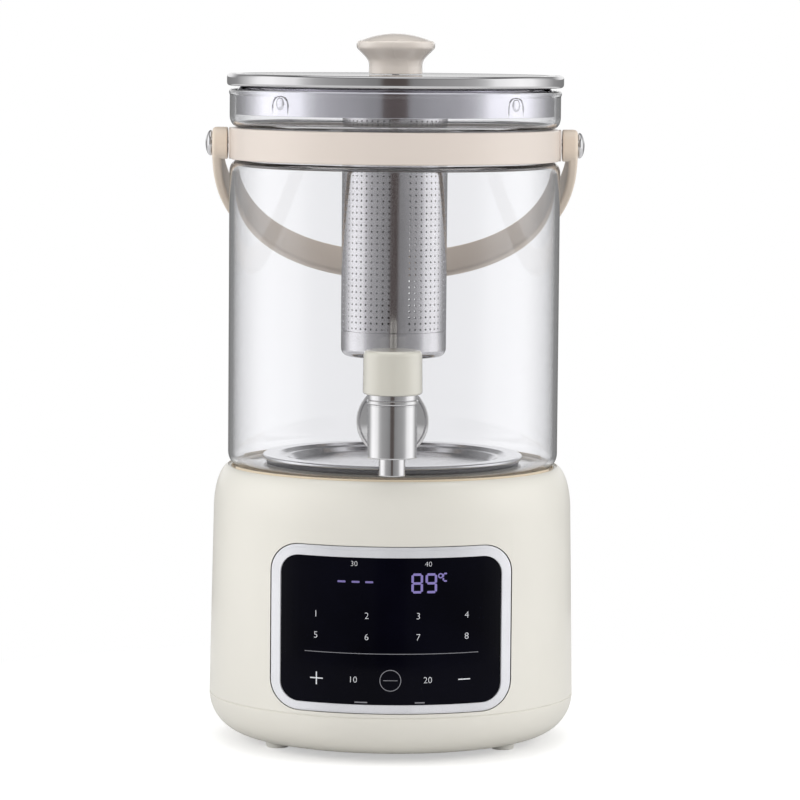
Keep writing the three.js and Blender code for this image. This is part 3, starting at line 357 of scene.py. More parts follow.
def sideways(nodes, vector, operation):
    """Length or direction of a vector's level part, and the node with the vector's own parts."""
    apart = nodes.new("ShaderNodeSeparateXYZ")
    link(vector, apart.inputs["Vector"])
    flat = nodes.new("ShaderNodeCombineXYZ")
    for axis in "XY":
        link(apart.outputs[axis], flat.inputs[axis])
    result = nodes.new("ShaderNodeVectorMath")
    result.operation = operation
    link(flat.outputs["Vector"], result.inputs[0])
    return result, apart


def darkened(colour, share):
    return tuple(channel * share for channel in colour)


def drive_colour(nodes, factor, dark, light, shader):
    mottled = ramp_of(nodes, factor, [(0.35, dark), (0.65, light)])
    link(mottled, shader.inputs["Base Color"])


def drive_roughness(nodes, factor, low, high, shader):
    spread = nodes.new("ShaderNodeMapRange")
    set_inputs(spread, {"From Min": 0.3, "From Max": 0.7, "To Min": low, "To Max": high})
    link(factor, spread.inputs["Value"])
    link(spread.outputs["Result"], shader.inputs["Roughness"])


def drive_bump(nodes, factor, strength, depth, shader):
    bump = nodes.new("ShaderNodeBump")
    set_inputs(bump, {"Strength": strength, "Distance": depth * MM})
    link(factor, bump.inputs["Height"])
    link(bump.outputs["Normal"], shader.inputs["Normal"])


# Scales of the patterns in the finishes, per metre, and the depth of the finest in millimetres
BROAD_GRAIN = 14
CLOUD_GRAIN = 30
SKIN_GRAIN = 900
BRUSH_GRAIN = 2500
SKIN_DEPTH = 0.01


def moulded(name, colour, roughness=0.4, coat=0.0, shade=0.965, pore=0.25):
    """Moulded plastic or rubber: faint mottling, an uneven sheen and a fine moulded skin."""
    material, nodes = new_finish(name)
    shader = nodes["Principled BSDF"]
    vector = surface_coordinates(nodes)
    broad = grain(nodes, vector, BROAD_GRAIN)
    fine = grain(nodes, vector, SKIN_GRAIN, 2)
    drive_colour(nodes, broad, darkened(colour, shade), colour, shader)
    drive_roughness(nodes, broad, roughness * 0.88, roughness * 1.12, shader)
    drive_bump(nodes, fine, pore, SKIN_DEPTH, shader)
    set_inputs(shader, {"Coat Weight": coat, "Coat Roughness": 0.12})
    return material


def round_coordinates(nodes, centre):
    """Distance from an upright axis and height, so that a pattern runs round the piece."""
    vector = surface_coordinates(nodes, centre)
    reach, apart = sideways(nodes, vector, "LENGTH")
    ring = nodes.new("ShaderNodeCombineXYZ")
    link(reach.outputs["Value"], ring.inputs["X"])
    link(apart.outputs["Z"], ring.inputs["Z"])
    return ring.outputs["Vector"]


def metal(name, colour, roughness, centre=None, stretch=(1, 1, 1), brush=0.05,
          density=BRUSH_GRAIN, amount=1.0):
    """Steel or chrome, brushed round an upright axis if a centre is given, or in a direction."""
    material, nodes = new_finish(name)
    shader = nodes["Principled BSDF"]
    shader.inputs["Metallic"].default_value = amount
    if centre:
        vector = round_coordinates(nodes, centre)
    else:
        vector = surface_coordinates(nodes, (0, 0), stretch)
    lines = grain(nodes, vector, density, 3)
    clouds = grain(nodes, surface_coordinates(nodes), CLOUD_GRAIN)
    drive_colour(nodes, clouds, darkened(colour, 0.9), colour, shader)
    drive_roughness(nodes, lines, roughness * 0.75, roughness * 1.25, shader)
    drive_bump(nodes, lines, brush, SKIN_DEPTH, shader)
    return material


def clear_glass(name, ior, tint, density):
    """Blown glass: a faint grey in its depth, a slight waviness, and lamps shine through it."""
    material, nodes = new_finish(name)
    shader = nodes["Principled BSDF"]
    set_inputs(shader, {"Base Color": (0.955, 0.956, 0.968, 1), "Roughness": 0.0, "IOR": ior,
                        "Transmission Weight": 1})
    wave = grain(nodes, surface_coordinates(nodes), 18, 1)
    drive_bump(nodes, wave, 0.04, 0.4, shader)
    open_way = nodes.new("ShaderNodeBsdfTransparent")
    set_inputs(open_way, {"Color": (0.985, 0.985, 0.988, 1)})
    path = nodes.new("ShaderNodeLightPath")
    lit_through = blended(nodes, path.outputs["Is Shadow Ray"],
                          shader.outputs["BSDF"], open_way.outputs["BSDF"])
    link(lit_through, nodes["Material Output"].inputs["Surface"])
    depth = nodes.new("ShaderNodeVolumeAbsorption")
    set_inputs(depth, {"Color": (*tint, 1), "Density": density})
    link(depth.outputs["Volume"], nodes["Material Output"].inputs["Volume"])
    return material


def panel_black(name):
    """Black printed glass: deep, glossy, with a faint blue cast that varies."""
    material, nodes = new_finish(name)
    shader = nodes["Principled BSDF"]
    vector = surface_coordinates(nodes)
    broad = grain(nodes, vector, 20)
    dark, light = (0.0008, 0.0008, 0.0026), (0.0020, 0.0020, 0.0056)
    drive_colour(nodes, broad, dark, light, shader)
    drive_roughness(nodes, broad, 0.05, 0.08, shader)
    set_inputs(shader, {"IOR": 1.15})
    return material


def print_ink(name, colour, glow, strength):
    """Ink or light behind the panel glass."""
    material, nodes = new_finish(name)
    shader = nodes["Principled BSDF"]
    vector = surface_coordinates(nodes)
    speckle = grain(nodes, vector, 1500, 2)
    drive_colour(nodes, speckle, darkened(colour, 0.9), colour, shader)
    set_inputs(shader, {"Roughness": 0.5, "Emission Color": (*glow, 1),
                        "Emission Strength": strength})
    return material


IVORY = (0.81, 0.787, 0.718)
BEIGE = (0.71, 0.59, 0.495)
jug_axis = (0, JUG_Y)
tap_axis = (0, TAP_Y)

finish = {
    "ivory_plastic": moulded("ivory plastic", IVORY, 0.36, 0.15),
    "beige_plastic": moulded("beige plastic", BEIGE, 0.42),
    "brushed_steel": metal("brushed steel", (0.64, 0.635, 0.645), 0.17, jug_axis, brush=0.06),
    "bright_chrome": metal("bright chrome", (0.70, 0.695, 0.705), 0.10, tap_axis, brush=0.03),
    "clear_glass": clear_glass("clear glass", 1.47, (0.84, 0.845, 0.86), 45),
    "black_glass": panel_black("panel glass"),
    "silver_trim": metal("silver frame", (0.83, 0.835, 0.87), 0.34, None, (1, 1, 8), brush=0.03,
                         amount=0.35),
    "grey_silicone": moulded("grey silicone", (0.075, 0.072, 0.08), 0.55),
    "tan_silicone": moulded("tan silicone", (0.76, 0.645, 0.485), 0.5),
    # The feet are pale rubber; their colour is set paler than the ivory, and that extra paleness is
    # painted light for the floor's light in the shade under the base.
    "foot_rubber": moulded("foot rubber", (0.92, 0.905, 0.85), 0.7, 0, 0.93, 0.5),
    "black_plastic": moulded("black plastic", (0.018, 0.018, 0.02), 0.45),
    "circuit_board": moulded("circuit board", (0.03, 0.13, 0.06), 0.4),
}
band_plastic = moulded("band plastic", (0.77, 0.685, 0.62), 0.40, 0.25)
bail_plastic = moulded("bail plastic", (0.81, 0.69, 0.57), 0.38, 0.3)
knob_plastic = moulded("lid knob plastic", (0.82, 0.745, 0.675), 0.27, 1.0)
# Painted shade: the tap knob is the ivory plastic, given a darker colour here so that its front
# reads shaded, while its strong coat lightens its sides with reflections.
shaded_grip_plastic = moulded("tap knob plastic", (0.64, 0.62, 0.55), 0.24, 0.9)
lid_metal = metal("lid steel", (0.66, 0.655, 0.665), 0.05, jug_axis, brush=0.01)
skirt_metal = metal("skirt steel", (0.83, 0.82, 0.875), 0.07, jug_axis, brush=0.008)
plate_metal = metal("heating plate steel", (0.74, 0.735, 0.75), 0.15, jug_axis, brush=0.03)
tube_metal = metal("infuser steel", (0.74, 0.73, 0.745), 0.10, None, (40, 40, 1), brush=0.02,
                   density=60)
white_ink = print_ink("white print", (0.62, 0.63, 0.66), (0.62, 0.63, 0.66), 0.25)
dim_ink = print_ink("grey print", (0.22, 0.22, 0.24), (0.25, 0.25, 0.28), 0.12)
lit_segment = print_ink("lit segment", (0.10, 0.085, 0.20), (0.42, 0.34, 0.86), 0.34)
low_segment = print_ink("low segment", (0.09, 0.075, 0.18), (0.36, 0.29, 0.76), 0.30)


def settle(piece, body, slot, nodes=(), look=None):
    """Gives a piece its own finish or its slot's finish, puts it in its body and hides the CAD
    nodes that it stands for.
    """
    piece.data.materials.clear()
    piece.data.materials.append(look or finish[slot])
    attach(piece, body)
    if nodes:
        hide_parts(*nodes)
    return piece


# ---- CAD nodes that stay

for entry in frame["record"]["subparts"]:
    node = frame["nodes"][entry["node"]]
    node.data.materials.clear()
    node.data.materials.append(finish[entry["material_slot"]])


# ---- base

WALL_LOW = 23.9
WALL_HIGH = 116.0
WALL_RADIUS = 91.4
WALL_DRAFT = 1.8
PANEL_Z = 66.1
FRAME_Z = 66.6


def wall_radius(height):
    """Outer radius of the drafted housing wall."""
    return WALL_RADIUS - WALL_DRAFT * (height - WALL_LOW) / (WALL_HIGH - WALL_LOW)


def make_housing():
    """Drafted wall, round shoulder with a grooved lip and a well, opened for panel and cord."""
    shoulder = bow(81.4, WALL_HIGH, 8.2, 22.2, 82, 0, 18)
    well = [(15.8, 108.9), (15.8, 111.5, 0.5), (68.5, 111.5, 2), (68.5, 135.0, 1),
            (81.0, 135.0, 0.6), (81.0, 137.3, 0.1), (82.45, 137.3), (82.45, 137.8)]
    walls = [(90.5, 70.0), (WALL_RADIUS, WALL_LOW, 0.4), (88.8, WALL_LOW, 0.3),
             (87.0, WALL_HIGH, 6), (80.0, 132.4, 2), (71.1, 132.4, 1), (71.1, 108.9)]
    housing = turned("housing", well + shoulder + walls, WIDE_ROUND)
    opening = thicken(rounded_plate("opening", 117.8, 81.6, 14.2), 60)
    place(opening, (0, -62, FRAME_Z))
    gland_hole = cylinder("gland hole", 5.7, 30, (0, JUG_Y + 90, GLAND_Z), (90, 0, 0))
    return smooth(cut(housing, opening, gland_hole))


def rounded_plate(name, width, height, corner, rim=0, segments=10):
    """A flat upright plate with round corners that faces the front, or only its rim."""
    plate = flat_plate(name, width, height)
    open_mesh(plate)
    bpy.ops.mesh.bevel(offset=corner * MM, segments=segments, affect="VERTICES")
    if rim:
        hollow_out(rim)
    close_mesh()
    return place(plate, turn=(90, 0, 0))


def hollow_out(rim):
    """Takes the middle out of an open flat face and leaves a rim."""
    bpy.ops.mesh.select_mode(type="FACE")
    select_whole()
    bpy.ops.mesh.inset(thickness=rim * MM)
    bpy.ops.mesh.delete(type="FACE")


def slice_upright(piece, half_width, pitch):
    """Cuts a flat front plate into upright strips so that it can follow the round wall."""
    open_mesh(piece)
    count = int(half_width / pitch)
    for i in range(-count, count + 1):
        select_whole()
        bpy.ops.mesh.bisect(plane_co=(i * pitch * MM, 0, 0), plane_no=(1, 0, 0))
    close_mesh()
    return piece


def wrap_on_wall(piece, proud, thickness):
    """Lays a flat front plate on the round wall, that far proud of it, and gives it a thickness."""
    low, high = WALL_LOW - 4, WALL_HIGH
    line = [(wall_radius(height) + proud, height) for height in (low, high)]
    former = turned("former", line, FORMER_ROUND, closed=False)
    modify(piece, "SHRINKWRAP", target=former, wrap_method="PROJECT", use_project_y=True)
    remove(former)
    face_forwards(piece)
    return thicken(piece, thickness, -1) if thickness else piece


def face_forwards(piece):
    """Turns the faces of an open front plate to the front."""
    open_mesh(piece)
    bpy.ops.mesh.normals_make_consistent(inside=False)
    close_mesh()
    if sum(face.normal.y * face.area for face in piece.data.polygons) > 0:
        piece.data.flip_normals()


def frame_ring(name, width, height, corner, rim, middle, proud, edge):
    """One ring of the panel's frame, laid on the wall, with a rounded edge."""
    ring = rounded_plate(name, width, height, corner, rim)
    place(ring, (0, IN_FRONT, middle))
    slice_upright(ring, 58, 3)
    wrap_on_wall(ring, proud, 3)
    return round_edges(ring, edge, 3)


def make_bezel():
    """Silver frame: a low outer flange, and a raised ring with a rounded edge round the glass."""
    flange = frame_ring("bezel", 117.0, 80.8, 13.8, 2.4, FRAME_Z, 0.15, 0.3)
    raised = frame_ring("raised ring", 114.8, 78.4, 12.6, 3.45, PANEL_Z + 0.1, 0.85, 1.3)
    return smooth(add_shell(flange, raised))


def make_touch_glass():
    pane = rounded_plate("touch_pane", 107.7, 71.4, 9.0)
    place(pane, (0, IN_FRONT, PANEL_Z))
    slice_upright(pane, 54, 3)
    wrap_on_wall(pane, 0.15, 2)
    return smooth(round_edges(pane, 0.25, 2))


def make_tray():
    """Lower dish with its big round corner and a tongue in the seam, opened for the four screws."""
    profile = [(0, 3.5)] + bow(71.4, 23.5, 20, 20, -90, 0, 18)[:-1]
    profile += [(WALL_RADIUS, 22.6), (WALL_RADIUS, 23.5, 0.3), (91.05, 23.5), (91.05, 23.88),
                (88.8, 23.88, 0.3), (88.8, 22.6)]
    profile += bow(71.4, 23.5, 17.4, 17.4, 0, -90, 12)[1:] + [(0, 6.1)]
    tray = turned("tray", profile, WIDE_ROUND)
    for x, y in foot_places():
        cut(tray, cylinder("screw well", 3.6, 6, (x, y, 2.0)))
    return smooth(tray)


def foot_places():
    x = FOOT_RING * math.sin(FOOT_ANGLE)
    y = FOOT_RING * math.cos(FOOT_ANGLE)
    return [(-x, JUG_Y - y), (x, JUG_Y - y), (-x, JUG_Y + y), (x, JUG_Y + y)]


def make_feet():
    """Four rubber feet with a dished sole."""
    profile = [(0, 0.5), (3.4, 0.5, 0.3), (3.8, 0, 0.3), (5.4, 0, 0.6), (6.0, 3.2, 0.3), (0, 3.2)]
    first = turned("foot", profile, LEAST_ROUND, ORIGIN)
    for i, (x, y) in enumerate(foot_places()):
        foot = copy_of(first, f"rubber_foot_{i + 1}")
        place(foot, (x, y, 0))
        settle(foot, "base", "foot_rubber", [f"foot_{i + 1}"])
    remove(first)


def make_gland():
    """Bush of the cord in the back wall."""
    gland = turned("cord_gland", [
        (3.7, -7.6), (5.4, -7.6, 0.4), (5.4, 0.3), (7.8, 0.3, 0.4), (7.8, 2.3, 0.8),
        (3.7, 2.3, 0.7)], LEAST_ROUND, ORIGIN)
    return place(gland, (0, JUG_Y + wall_radius(GLAND_Z), GLAND_Z), (-90, 0, 0))


def make_seat():
    """Seat ring under the jar; its lip shows in the shoulder's groove, except at the sides."""
    seat = turned("seat_ring", [
        (70.5, 135.3, 0.3), (80.9, 135.3), (80.9, 137.4), (82.2, 137.4), (82.2, 138.95, 0.3),
        (81.05, 138.95, 0.2), (80.3, 138.0), (80.3, 136.2), (70.5, 136.2, 0.3)], WIDE_ROUND)
    deselect()
    bpy.ops.mesh.primitive_cube_add(size=1)
    sides = bpy.context.object
    sides.scale = (200 * MM, 53.2 * MM, 4 * MM)
    place(sides, (0, JUG_Y, 139.38))
    return smooth(cut(seat, sides))


def make_socket():
    """Tower of the cordless connector, with a ring groove and a bore for the pin."""
    return turned("socket_tower", [
        (0, 106.2), (19.0, 106.2, 0.5), (19.0, 108.6), (15.5, 108.6), (15.5, 121.2, 0.8),
        (9.4, 121.2, 0.5), (9.4, 115.1), (6.2, 115.1), (6.2, 121.2, 0.5), (3.0, 121.2, 0.5),
        (3.0, 113.1), (0, 113.1)], SMALL_ROUND)


settle(make_housing(), "base", "ivory_plastic", ["base_housing"])
settle(make_bezel(), "base", "silver_trim", ["panel_bezel"])
settle(make_touch_glass(), "base", "black_glass", ["touch_glass"])
settle(make_tray(), "base", "ivory_plastic", ["base_tray"])
make_feet()
settle(make_gland(), "base", "ivory_plastic", ["cord_inlet"])
settle(make_seat(), "base", "tan_silicone", ["seat_gasket"])
settle(make_socket(), "base", "black_plastic", ["base_socket"])


# ---- jug

GLASS_WALL = 2.2
JAR_HOLE = 55.5
JAR_BOTTOM = 136.5
NECK_RADIUS = 78.7
CURVE_CENTRE = 78.9


def jar_side(offset):
    """The jar's wall at an inward offset: bottom corner, shoulder, neck and bulge of the mouth."""
    corner = 8 - offset
    reach = JAR_RADIUS - CURVE_CENTRE - offset
    rise = 5.6 - offset
    neck = NECK_RADIUS - offset
    return (bow(74.6, 144.5, corner, corner, -90, 0, 10)
            + bow(CURVE_CENTRE, 284.6, reach, rise, 0, 90, 12)
            + [(neck, 290.4 - offset, 0.6), (neck, 306.8 + offset, 0.6)]
            + bow(CURVE_CENTRE, 312.6, reach, rise, -90, 0, 12))


def make_jar():
    """Glass jar with a hole in its floor for the plate, a beaded lip and a hole for the tap."""
    lip = step((JAR_RADIUS, 322.6), (82.95, 324.0), 4) + bow(81.65, 324.4, 1.3, 1.3, 0, 180, 10)
    profile = ([(JAR_HOLE, JAR_BOTTOM)] + jar_side(0) + lip + jar_side(GLASS_WALL)[::-1]
               + [(JAR_HOLE, JAR_BOTTOM + GLASS_WALL)])
    jar = turned("jar", profile, FINE_ROUND)
    tap_hole = cylinder("tap hole", 6.6, 12, (0, JUG_Y - JAR_RADIUS, TAP_Z), (90, 0, 0),
                        LEAST_ROUND)
    return smooth(cut(jar, tap_hole))


def make_plate():
    """Heating plate: raised rim with a round edge, a stepped dish and a threaded skirt."""
    return turned("hot_plate", [
        (0, 138.2), (53.0, 138.2, 0.5), (53.0, 128.0), (54.6, 128.0), (54.6, 141.4),
        (65.2, 141.4, 0.6), (65.2, 143.6, 0.9), (57.2, 143.6, 0.5), (55.8, 142.3, 0.6),
        (52.4, 141.9, 0.8), (50.0, 139.6, 1.2), (0, 139.6)], WIDE_ROUND)


def make_cup():
    """Cup under the jar, open in its middle for the plug."""
    return turned("cup", [
        (19.0, 115.0, 0.8), (66.5, 115.0, 3), (66.5, 136.2, 0.4), (64.3, 136.2), (64.3, 117.2, 2),
        (21.0, 117.2), (21.0, 124.2), (16.3, 124.2), (16.3, 122.0), (19.0, 122.0)])


def make_plug():
    """Plug of the cordless connector: a pin and a ring under a flange."""
    return turned("plug", [
        (0, 113.5), (2.6, 113.5, 0.8), (2.6, 122.0), (6.6, 122.0), (6.6, 115.5, 0.4),
        (9.0, 115.5, 0.4), (9.0, 122.0), (16.0, 122.0, 0.5), (16.0, 124.5), (20.0, 124.5),
        (20.0, 126.5), (16.0, 126.5), (16.0, 130.3), (0, 130.3)], SMALL_ROUND)


def make_seal(name, outer, bottom, top, fillet):
    """Flat gasket round the skirt of the heating plate."""
    inner = 54.9
    return turned(name, [
        (inner, bottom), (outer, bottom, fillet), (outer, top, fillet), (inner, top)])


settle(make_jar(), "jug", "clear_glass", ["glass_jar"])
settle(make_plate(), "jug", "brushed_steel", ["heating_plate"], plate_metal)
settle(make_seal("plate_seal", 63.4, 139.0, 141.1, 0.5), "jug", "grey_silicone", ["plate_gasket"])
settle(make_seal("clamp_seal", 63.0, 134.7, 136.2, 0.3), "jug", "grey_silicone", ["clamp_gasket"])
settle(make_cup(), "jug", "ivory_plastic", ["jug_cup"])
settle(make_plug(), "connector", "black_plastic", ["jug_plug"])


# ---- neck band, pins and bail

PIN_BORE = 3.3
pivot = (0, JUG_Y, PIVOT_Z)


def on_both_sides(piece, name, location):
    """Lays an upright turned piece to the left, and a copy of it to the right."""
    right = copy_of(piece, name)
    place(right, location, (0, 90, 0))
    return place(piece, location, (0, -90, 0)), right


def make_band():
    """Band round the neck with two round lugs."""
    inner, outer, bottom, top = 79.0, 82.0, 290.7, 306.5
    band = turned("band", [(inner, bottom, 0.3), (outer, bottom, 0.9), (outer, top, 0.9),
                           (inner, top, 0.3)], WIDE_ROUND)
    lug = turned("lug", [(PIN_BORE, 80.5), (7.9, 80.5), (7.9, 82.9, 0.4), (PIN_BORE, 82.9, 0.2)],
                 THIN_ROUND, ORIGIN)
    lugs = on_both_sides(lug, "right lug", pivot)
    cut(band, cylinder("pin bore", PIN_BORE, 190, pivot, (0, 90, 0), LEAST_ROUND))
    return smooth(add_shell(band, *lugs))


def make_pin(name, side):
    """Pivot pin with a domed chrome head."""
    head = bow(0, 92.0, 6.4, 2.6, 0, 90, 10)
    shank = [(0, 79.8), (3.0, 79.8), (3.0, 91.5), (6.1, 91.5), (6.4, 91.8)]
    profile = shank + head[:-1] + [(0, 94.6)]
    return place(turned(name, profile, THIN_ROUND, ORIGIN), pivot, (0, 90 * side, 0))


BAIL_HALF_SPAN = 91.2
BAIL_REACH = 113.1
BAIL_LEG = 8.0
BAIL_POWER = 2 / 2.2
STRAP_WIDTH = 16
STRAP_THICKNESS = 4.6


def bail_line(steps=72):
    """The bend of the strap in its own plane, from one eye to the other."""
    points = [(BAIL_HALF_SPAN, 0, 0)]
    for i in range(steps + 1):
        angle = math.pi * i / steps
        x = math.copysign(abs(math.cos(angle)) ** BAIL_POWER, math.cos(angle))
        y = abs(math.sin(angle)) ** BAIL_POWER
        points.append((BAIL_HALF_SPAN * x, BAIL_LEG + (BAIL_REACH - BAIL_LEG) * y, 0))
    return points + [(-BAIL_HALF_SPAN, 0, 0)]


def make_bail():
    """Flat strap bent to a U, with a round eye at each end, leaning back against the jar."""
    strap = one_point("bail")
    draw_line(bail_line())
    select_whole()
    bpy.ops.transform.translate(value=(0, 0, -STRAP_WIDTH / 2 * MM))
    bpy.ops.mesh.extrude_edges_move(TRANSFORM_OT_translate={"value": (0, 0, STRAP_WIDTH * MM)})
    close_up()
    if sum(face.normal.dot(face.center) for face in strap.data.polygons) < 0:
        strap.data.flip_normals()
    thicken(strap, STRAP_THICKNESS, -1, use_even_offset=True)
    round_edges(strap, 1.5, 4, 60)
    eye = turned("left eye", [
        (PIN_BORE, 83.5, 0.2), (8.0, 83.5, 0.8), (8.0, BAIL_HALF_SPAN, 2.6),
        (PIN_BORE, BAIL_HALF_SPAN, 0.2)], EYE_ROUND, ORIGIN, 6)
    add_shell(strap, *on_both_sides(eye, "right eye", (0, 0, 0)))
    place(strap, pivot, (-BAIL_LEAN, 0, 0))
    return smooth(strap, 50)


settle(make_band(), "jug", "beige_plastic", ["handle_band"], band_plastic)
settle(make_pin("left_pin", -1), "jug", "bright_chrome", ["pivot_pin_left"])
settle(make_pin("right_pin", 1), "jug", "bright_chrome", ["pivot_pin_right"])
settle(make_bail(), "bail", "beige_plastic", ["handle_bail"], bail_plastic)


# ---- tap

SPINDLE_BORE = 3.8


def turned_forwards(name, profile, sides):
    """Turns a piece about the tap's level axis; its heights count from the jug's axis."""
    return place(turned(name, profile, sides, ORIGIN), (0, JUG_Y, TAP_Z), (90, 0, 0))


def make_tap_body():
    """Upright barrel with its arm and threaded shank."""
    barrel = turned("barrel", [
        (5.5, 154.5, 0.3), (11.75, 154.5, 0.7), (11.75, 179.25), (7.3, 179.25), (7.3, 158.0),
        (5.5, 158.0)], SMALL_ROUND, tap_axis)
    arm = turned_forwards("arm", [
        (4.0, 70.8), (6.0, 70.8, 0.6), (6.0, 88.5), (7.5, 88.5), (7.5, 120),
        (4.0, 120)], THIN_ROUND)
    return add_shell(barrel, arm)


def make_flange():
    """Turned flange with a raised rim and a shallow cone up to the arm."""
    return turned_forwards("tap_collar", [
        (6.3, 85.2), (17.5, 85.2, 0.3), (17.5, 86.2, 0.7), (16.2, 86.8, 0.4), (15.7, 86.0, 0.3),
        (9.4, 88.2, 0.8), (6.3, 88.2, 0.3)], SMALL_ROUND)


def make_nut():
    """Hexagon nut on the shank inside the jar, with its corners turned off."""
    nut = cylinder("shank_nut", 11.4, 5, (0, 0, 0), sides=6)
    round_edges(nut, 0.6, 2, 30)
    cut(nut, cylinder("bore", 6.3, 20, (0, 0, 0)))
    return smooth(place(nut, (0, JUG_Y - 75.5, TAP_Z), (90, 0, 0)))


def make_bonnet():
    """Bonnet ring between barrel and knob, with a raised bead."""
    return turned("bonnet", [
        (SPINDLE_BORE, 179.3), (11.75, 179.3), (11.75, 179.9), (11.5, 180.0), (12.3, 180.2, 0.5),
        (12.3, 181.8, 0.5), (11.6, 182.05), (11.85, 182.4, 0.2), (11.85, 184.6, 0.2),
        (SPINDLE_BORE, 184.6)], SMALL_ROUND, tap_axis)


def make_spout():
    return turned("spout", [
        (4.3, 145.9, 0.3), (6.35, 145.9, 0.6), (6.35, 154.2, 0.2), (5.2, 154.2), (5.2, 157.4),
        (4.3, 157.4)], THIN_ROUND, tap_axis)


def make_tap_knob():
    """Round knob with a soft top edge and a blind bore."""
    return turned("tap_grip", [
        (SPINDLE_BORE, 184.8), (13.5, 184.8, 0.4), (14.1, 185.6, 0.6), (13.9, 205.5, 2.6),
        (0, 206.0), (0, 202.2), (SPINDLE_BORE, 202.2)], SMALL_ROUND, tap_axis, 8)


settle(make_tap_body(), "jug", "bright_chrome", ["tap_body"])
settle(make_flange(), "jug", "bright_chrome", ["tap_flange"])
settle(make_nut(), "jug", "brushed_steel", ["tap_nut"])
settle(make_bonnet(), "jug", "bright_chrome", ["tap_bonnet"])
settle(make_spout(), "jug", "bright_chrome", ["tap_spout"])
settle(make_tap_knob(), "tap_valve", "ivory_plastic", ["tap_knob"], shaded_grip_plastic)


# ---- lid

def make_lid():
    """Pressed lid with a thick rolled rim and a shallow pressed ring."""
    return turned("lid", [
        (2.3, 331.9), (79.4, 331.9, 0.6), (80.2, 327.3, 0.4), (84.0, 327.3, 4.2),
        (84.0, 333.4, 1.9), (79.5, 333.3, 0.6), (78.6, 332.8, 0.5), (76.0, 332.8, 0.5),
        (75.0, 333.3, 0.5), (2.3, 333.4)], FINE_ROUND, steps=8)


# Spring tabs of the skirt: where they stand round it, and the tongue that each slot leaves
TAB_ANGLES = (47.1, -44.1, 135.9, -132.9)
SKIRT_RADIUS = 79.0
TAB_Z = 314.1
DIMPLE_Z = 319.4
TONGUE = (9.4, 17.4, 4.69)
SLOT = (11.6, 19.6, 5.79)


def on_skirt(piece, height, angle):
    """Puts a piece at the front of the skirt, then turns it round the jug's axis."""
    place(piece, (0, -SKIRT_RADIUS, height))
    return place(piece, (0, JUG_Y, 0), (0, 0, angle))


def make_slot(angle):
    """Cutter for one spring tab: an arch about 1.1 mm wide, open at its foot."""
    slot = thicken(rounded_plate("slot", *SLOT, 0, 12), 8)
    tongue = thicken(rounded_plate("tab", *TONGUE, 0, 12), 9)
    cut(slot, tongue, cylinder("below", 12, 12, (0, 0, -6)))
    return on_skirt(slot, TAB_Z, angle)


def make_dimple(angle):
    deselect()
    bpy.ops.mesh.primitive_uv_sphere_add(segments=24, ring_count=16, radius=2.9 * MM)
    dimple = bpy.context.object
    dimple.scale = (1, 0.3, 1.15)
    return on_skirt(dimple, DIMPLE_Z, angle)


def make_skirt():
    """Thin ring under the lid, drawn in at its neck, with four sprung tabs, each with a dimple."""
    skirt = turned("skirt", [
        (78.7, 313.2, 0.2), (79.3, 313.2, 0.2), (79.3, 324.9, 1.2), (77.2, 326.9, 1.2),
        (77.2, 331.6, 0.5), (71.5, 331.6), (71.5, 331.0), (76.6, 331.0, 0.4), (76.6, 326.6, 0.9),
        (78.7, 324.6, 0.9)], FINE_ROUND)
    cut(skirt, *(make_slot(angle) for angle in TAB_ANGLES))
    return smooth(add_shell(skirt, *(make_dimple(angle) for angle in TAB_ANGLES)))


def make_lid_knob():
    """Turned knob: a straight neck that opens to a short upright rim, and a low dome inside it."""
    outline = flowing([
        (13.5, 333.9), (13.3, 336.0), (13.3, 338.2), (14.1, 340.6), (16.1, 343.0), (18.2, 345.1),
        (19.3, 346.4), (19.55, 347.7), (19.4, 349.3), (18.7, 350.0)], 5)
    top, dome_radius, dome_height = 353.8, 18.3, 3.75
    shares = [tenth / 10 for tenth in range(10, 0, -1)]
    dome = [(dome_radius * share, top - dome_height * share ** 2) for share in shares]
    profile = [(0, 347.1), (2.3, 347.1), (2.3, 333.7), (13.3, 333.7)] + outline + dome + [(0, top)]
    return turned("knob", profile, SMALL_ROUND)


settle(make_lid(), "lid", "bright_chrome", ["lid_plate"], lid_metal)
settle(make_skirt(), "lid", "brushed_steel", ["lid_skirt"], skirt_metal)
settle(make_lid_knob(), "lid", "ivory_plastic", ["lid_knob"], knob_plastic)


# ---- infuser

TUBE_RADIUS = 26.3
TUBE_WALL = 0.8
HOLE_RADIUS = 0.58
HOLE_ROWS = 35
HOLE_COLUMNS = 52
ROW_PITCH = 3.03
COLUMN_TURN = 6.61
FIRST_COLUMN = 17.4
TUBE_BOTTOM = 206.0
TUBE_TOP = 328.9


def make_cell():
    """One cell of the perforated sheet: a small flat square with a round hole."""
    width = 2 * TUBE_RADIUS * math.tan(math.radians(COLUMN_TURN / 2))
    cell = flat_plate("perforated_tube", width, ROW_PITCH)
    open_mesh(cell, element="VERT")
    bpy.ops.mesh.subdivide(number_cuts=1)
    select_whole("DESELECT")
    close_mesh()
    for vertex in cell.data.vertices:
        vertex.select = vertex.co.length < 0.1 * MM
    bpy.ops.object.mode_set(mode="EDIT")
    bpy.ops.mesh.delete(type="VERT")
    bpy.ops.mesh.primitive_circle_add(vertices=8, radius=HOLE_RADIUS * MM)
    select_whole()
    bpy.ops.mesh.bridge_edge_loops()
    close_mesh()
    return place(cell, (0, -TUBE_RADIUS, TUBE_BOTTOM + ROW_PITCH / 2), (90, 0, 0))


def select_edges(piece, test):
    """Leaves the piece in edit mode with the edges selected whose two ends pass the test."""
    open_mesh(piece, "DESELECT", "EDGE")
    close_mesh()
    points = piece.data.vertices
    for edge in piece.data.edges:
        edge.select = all(test(points[i].co / MM) for i in edge.vertices)
    bpy.ops.object.mode_set(mode="EDIT")


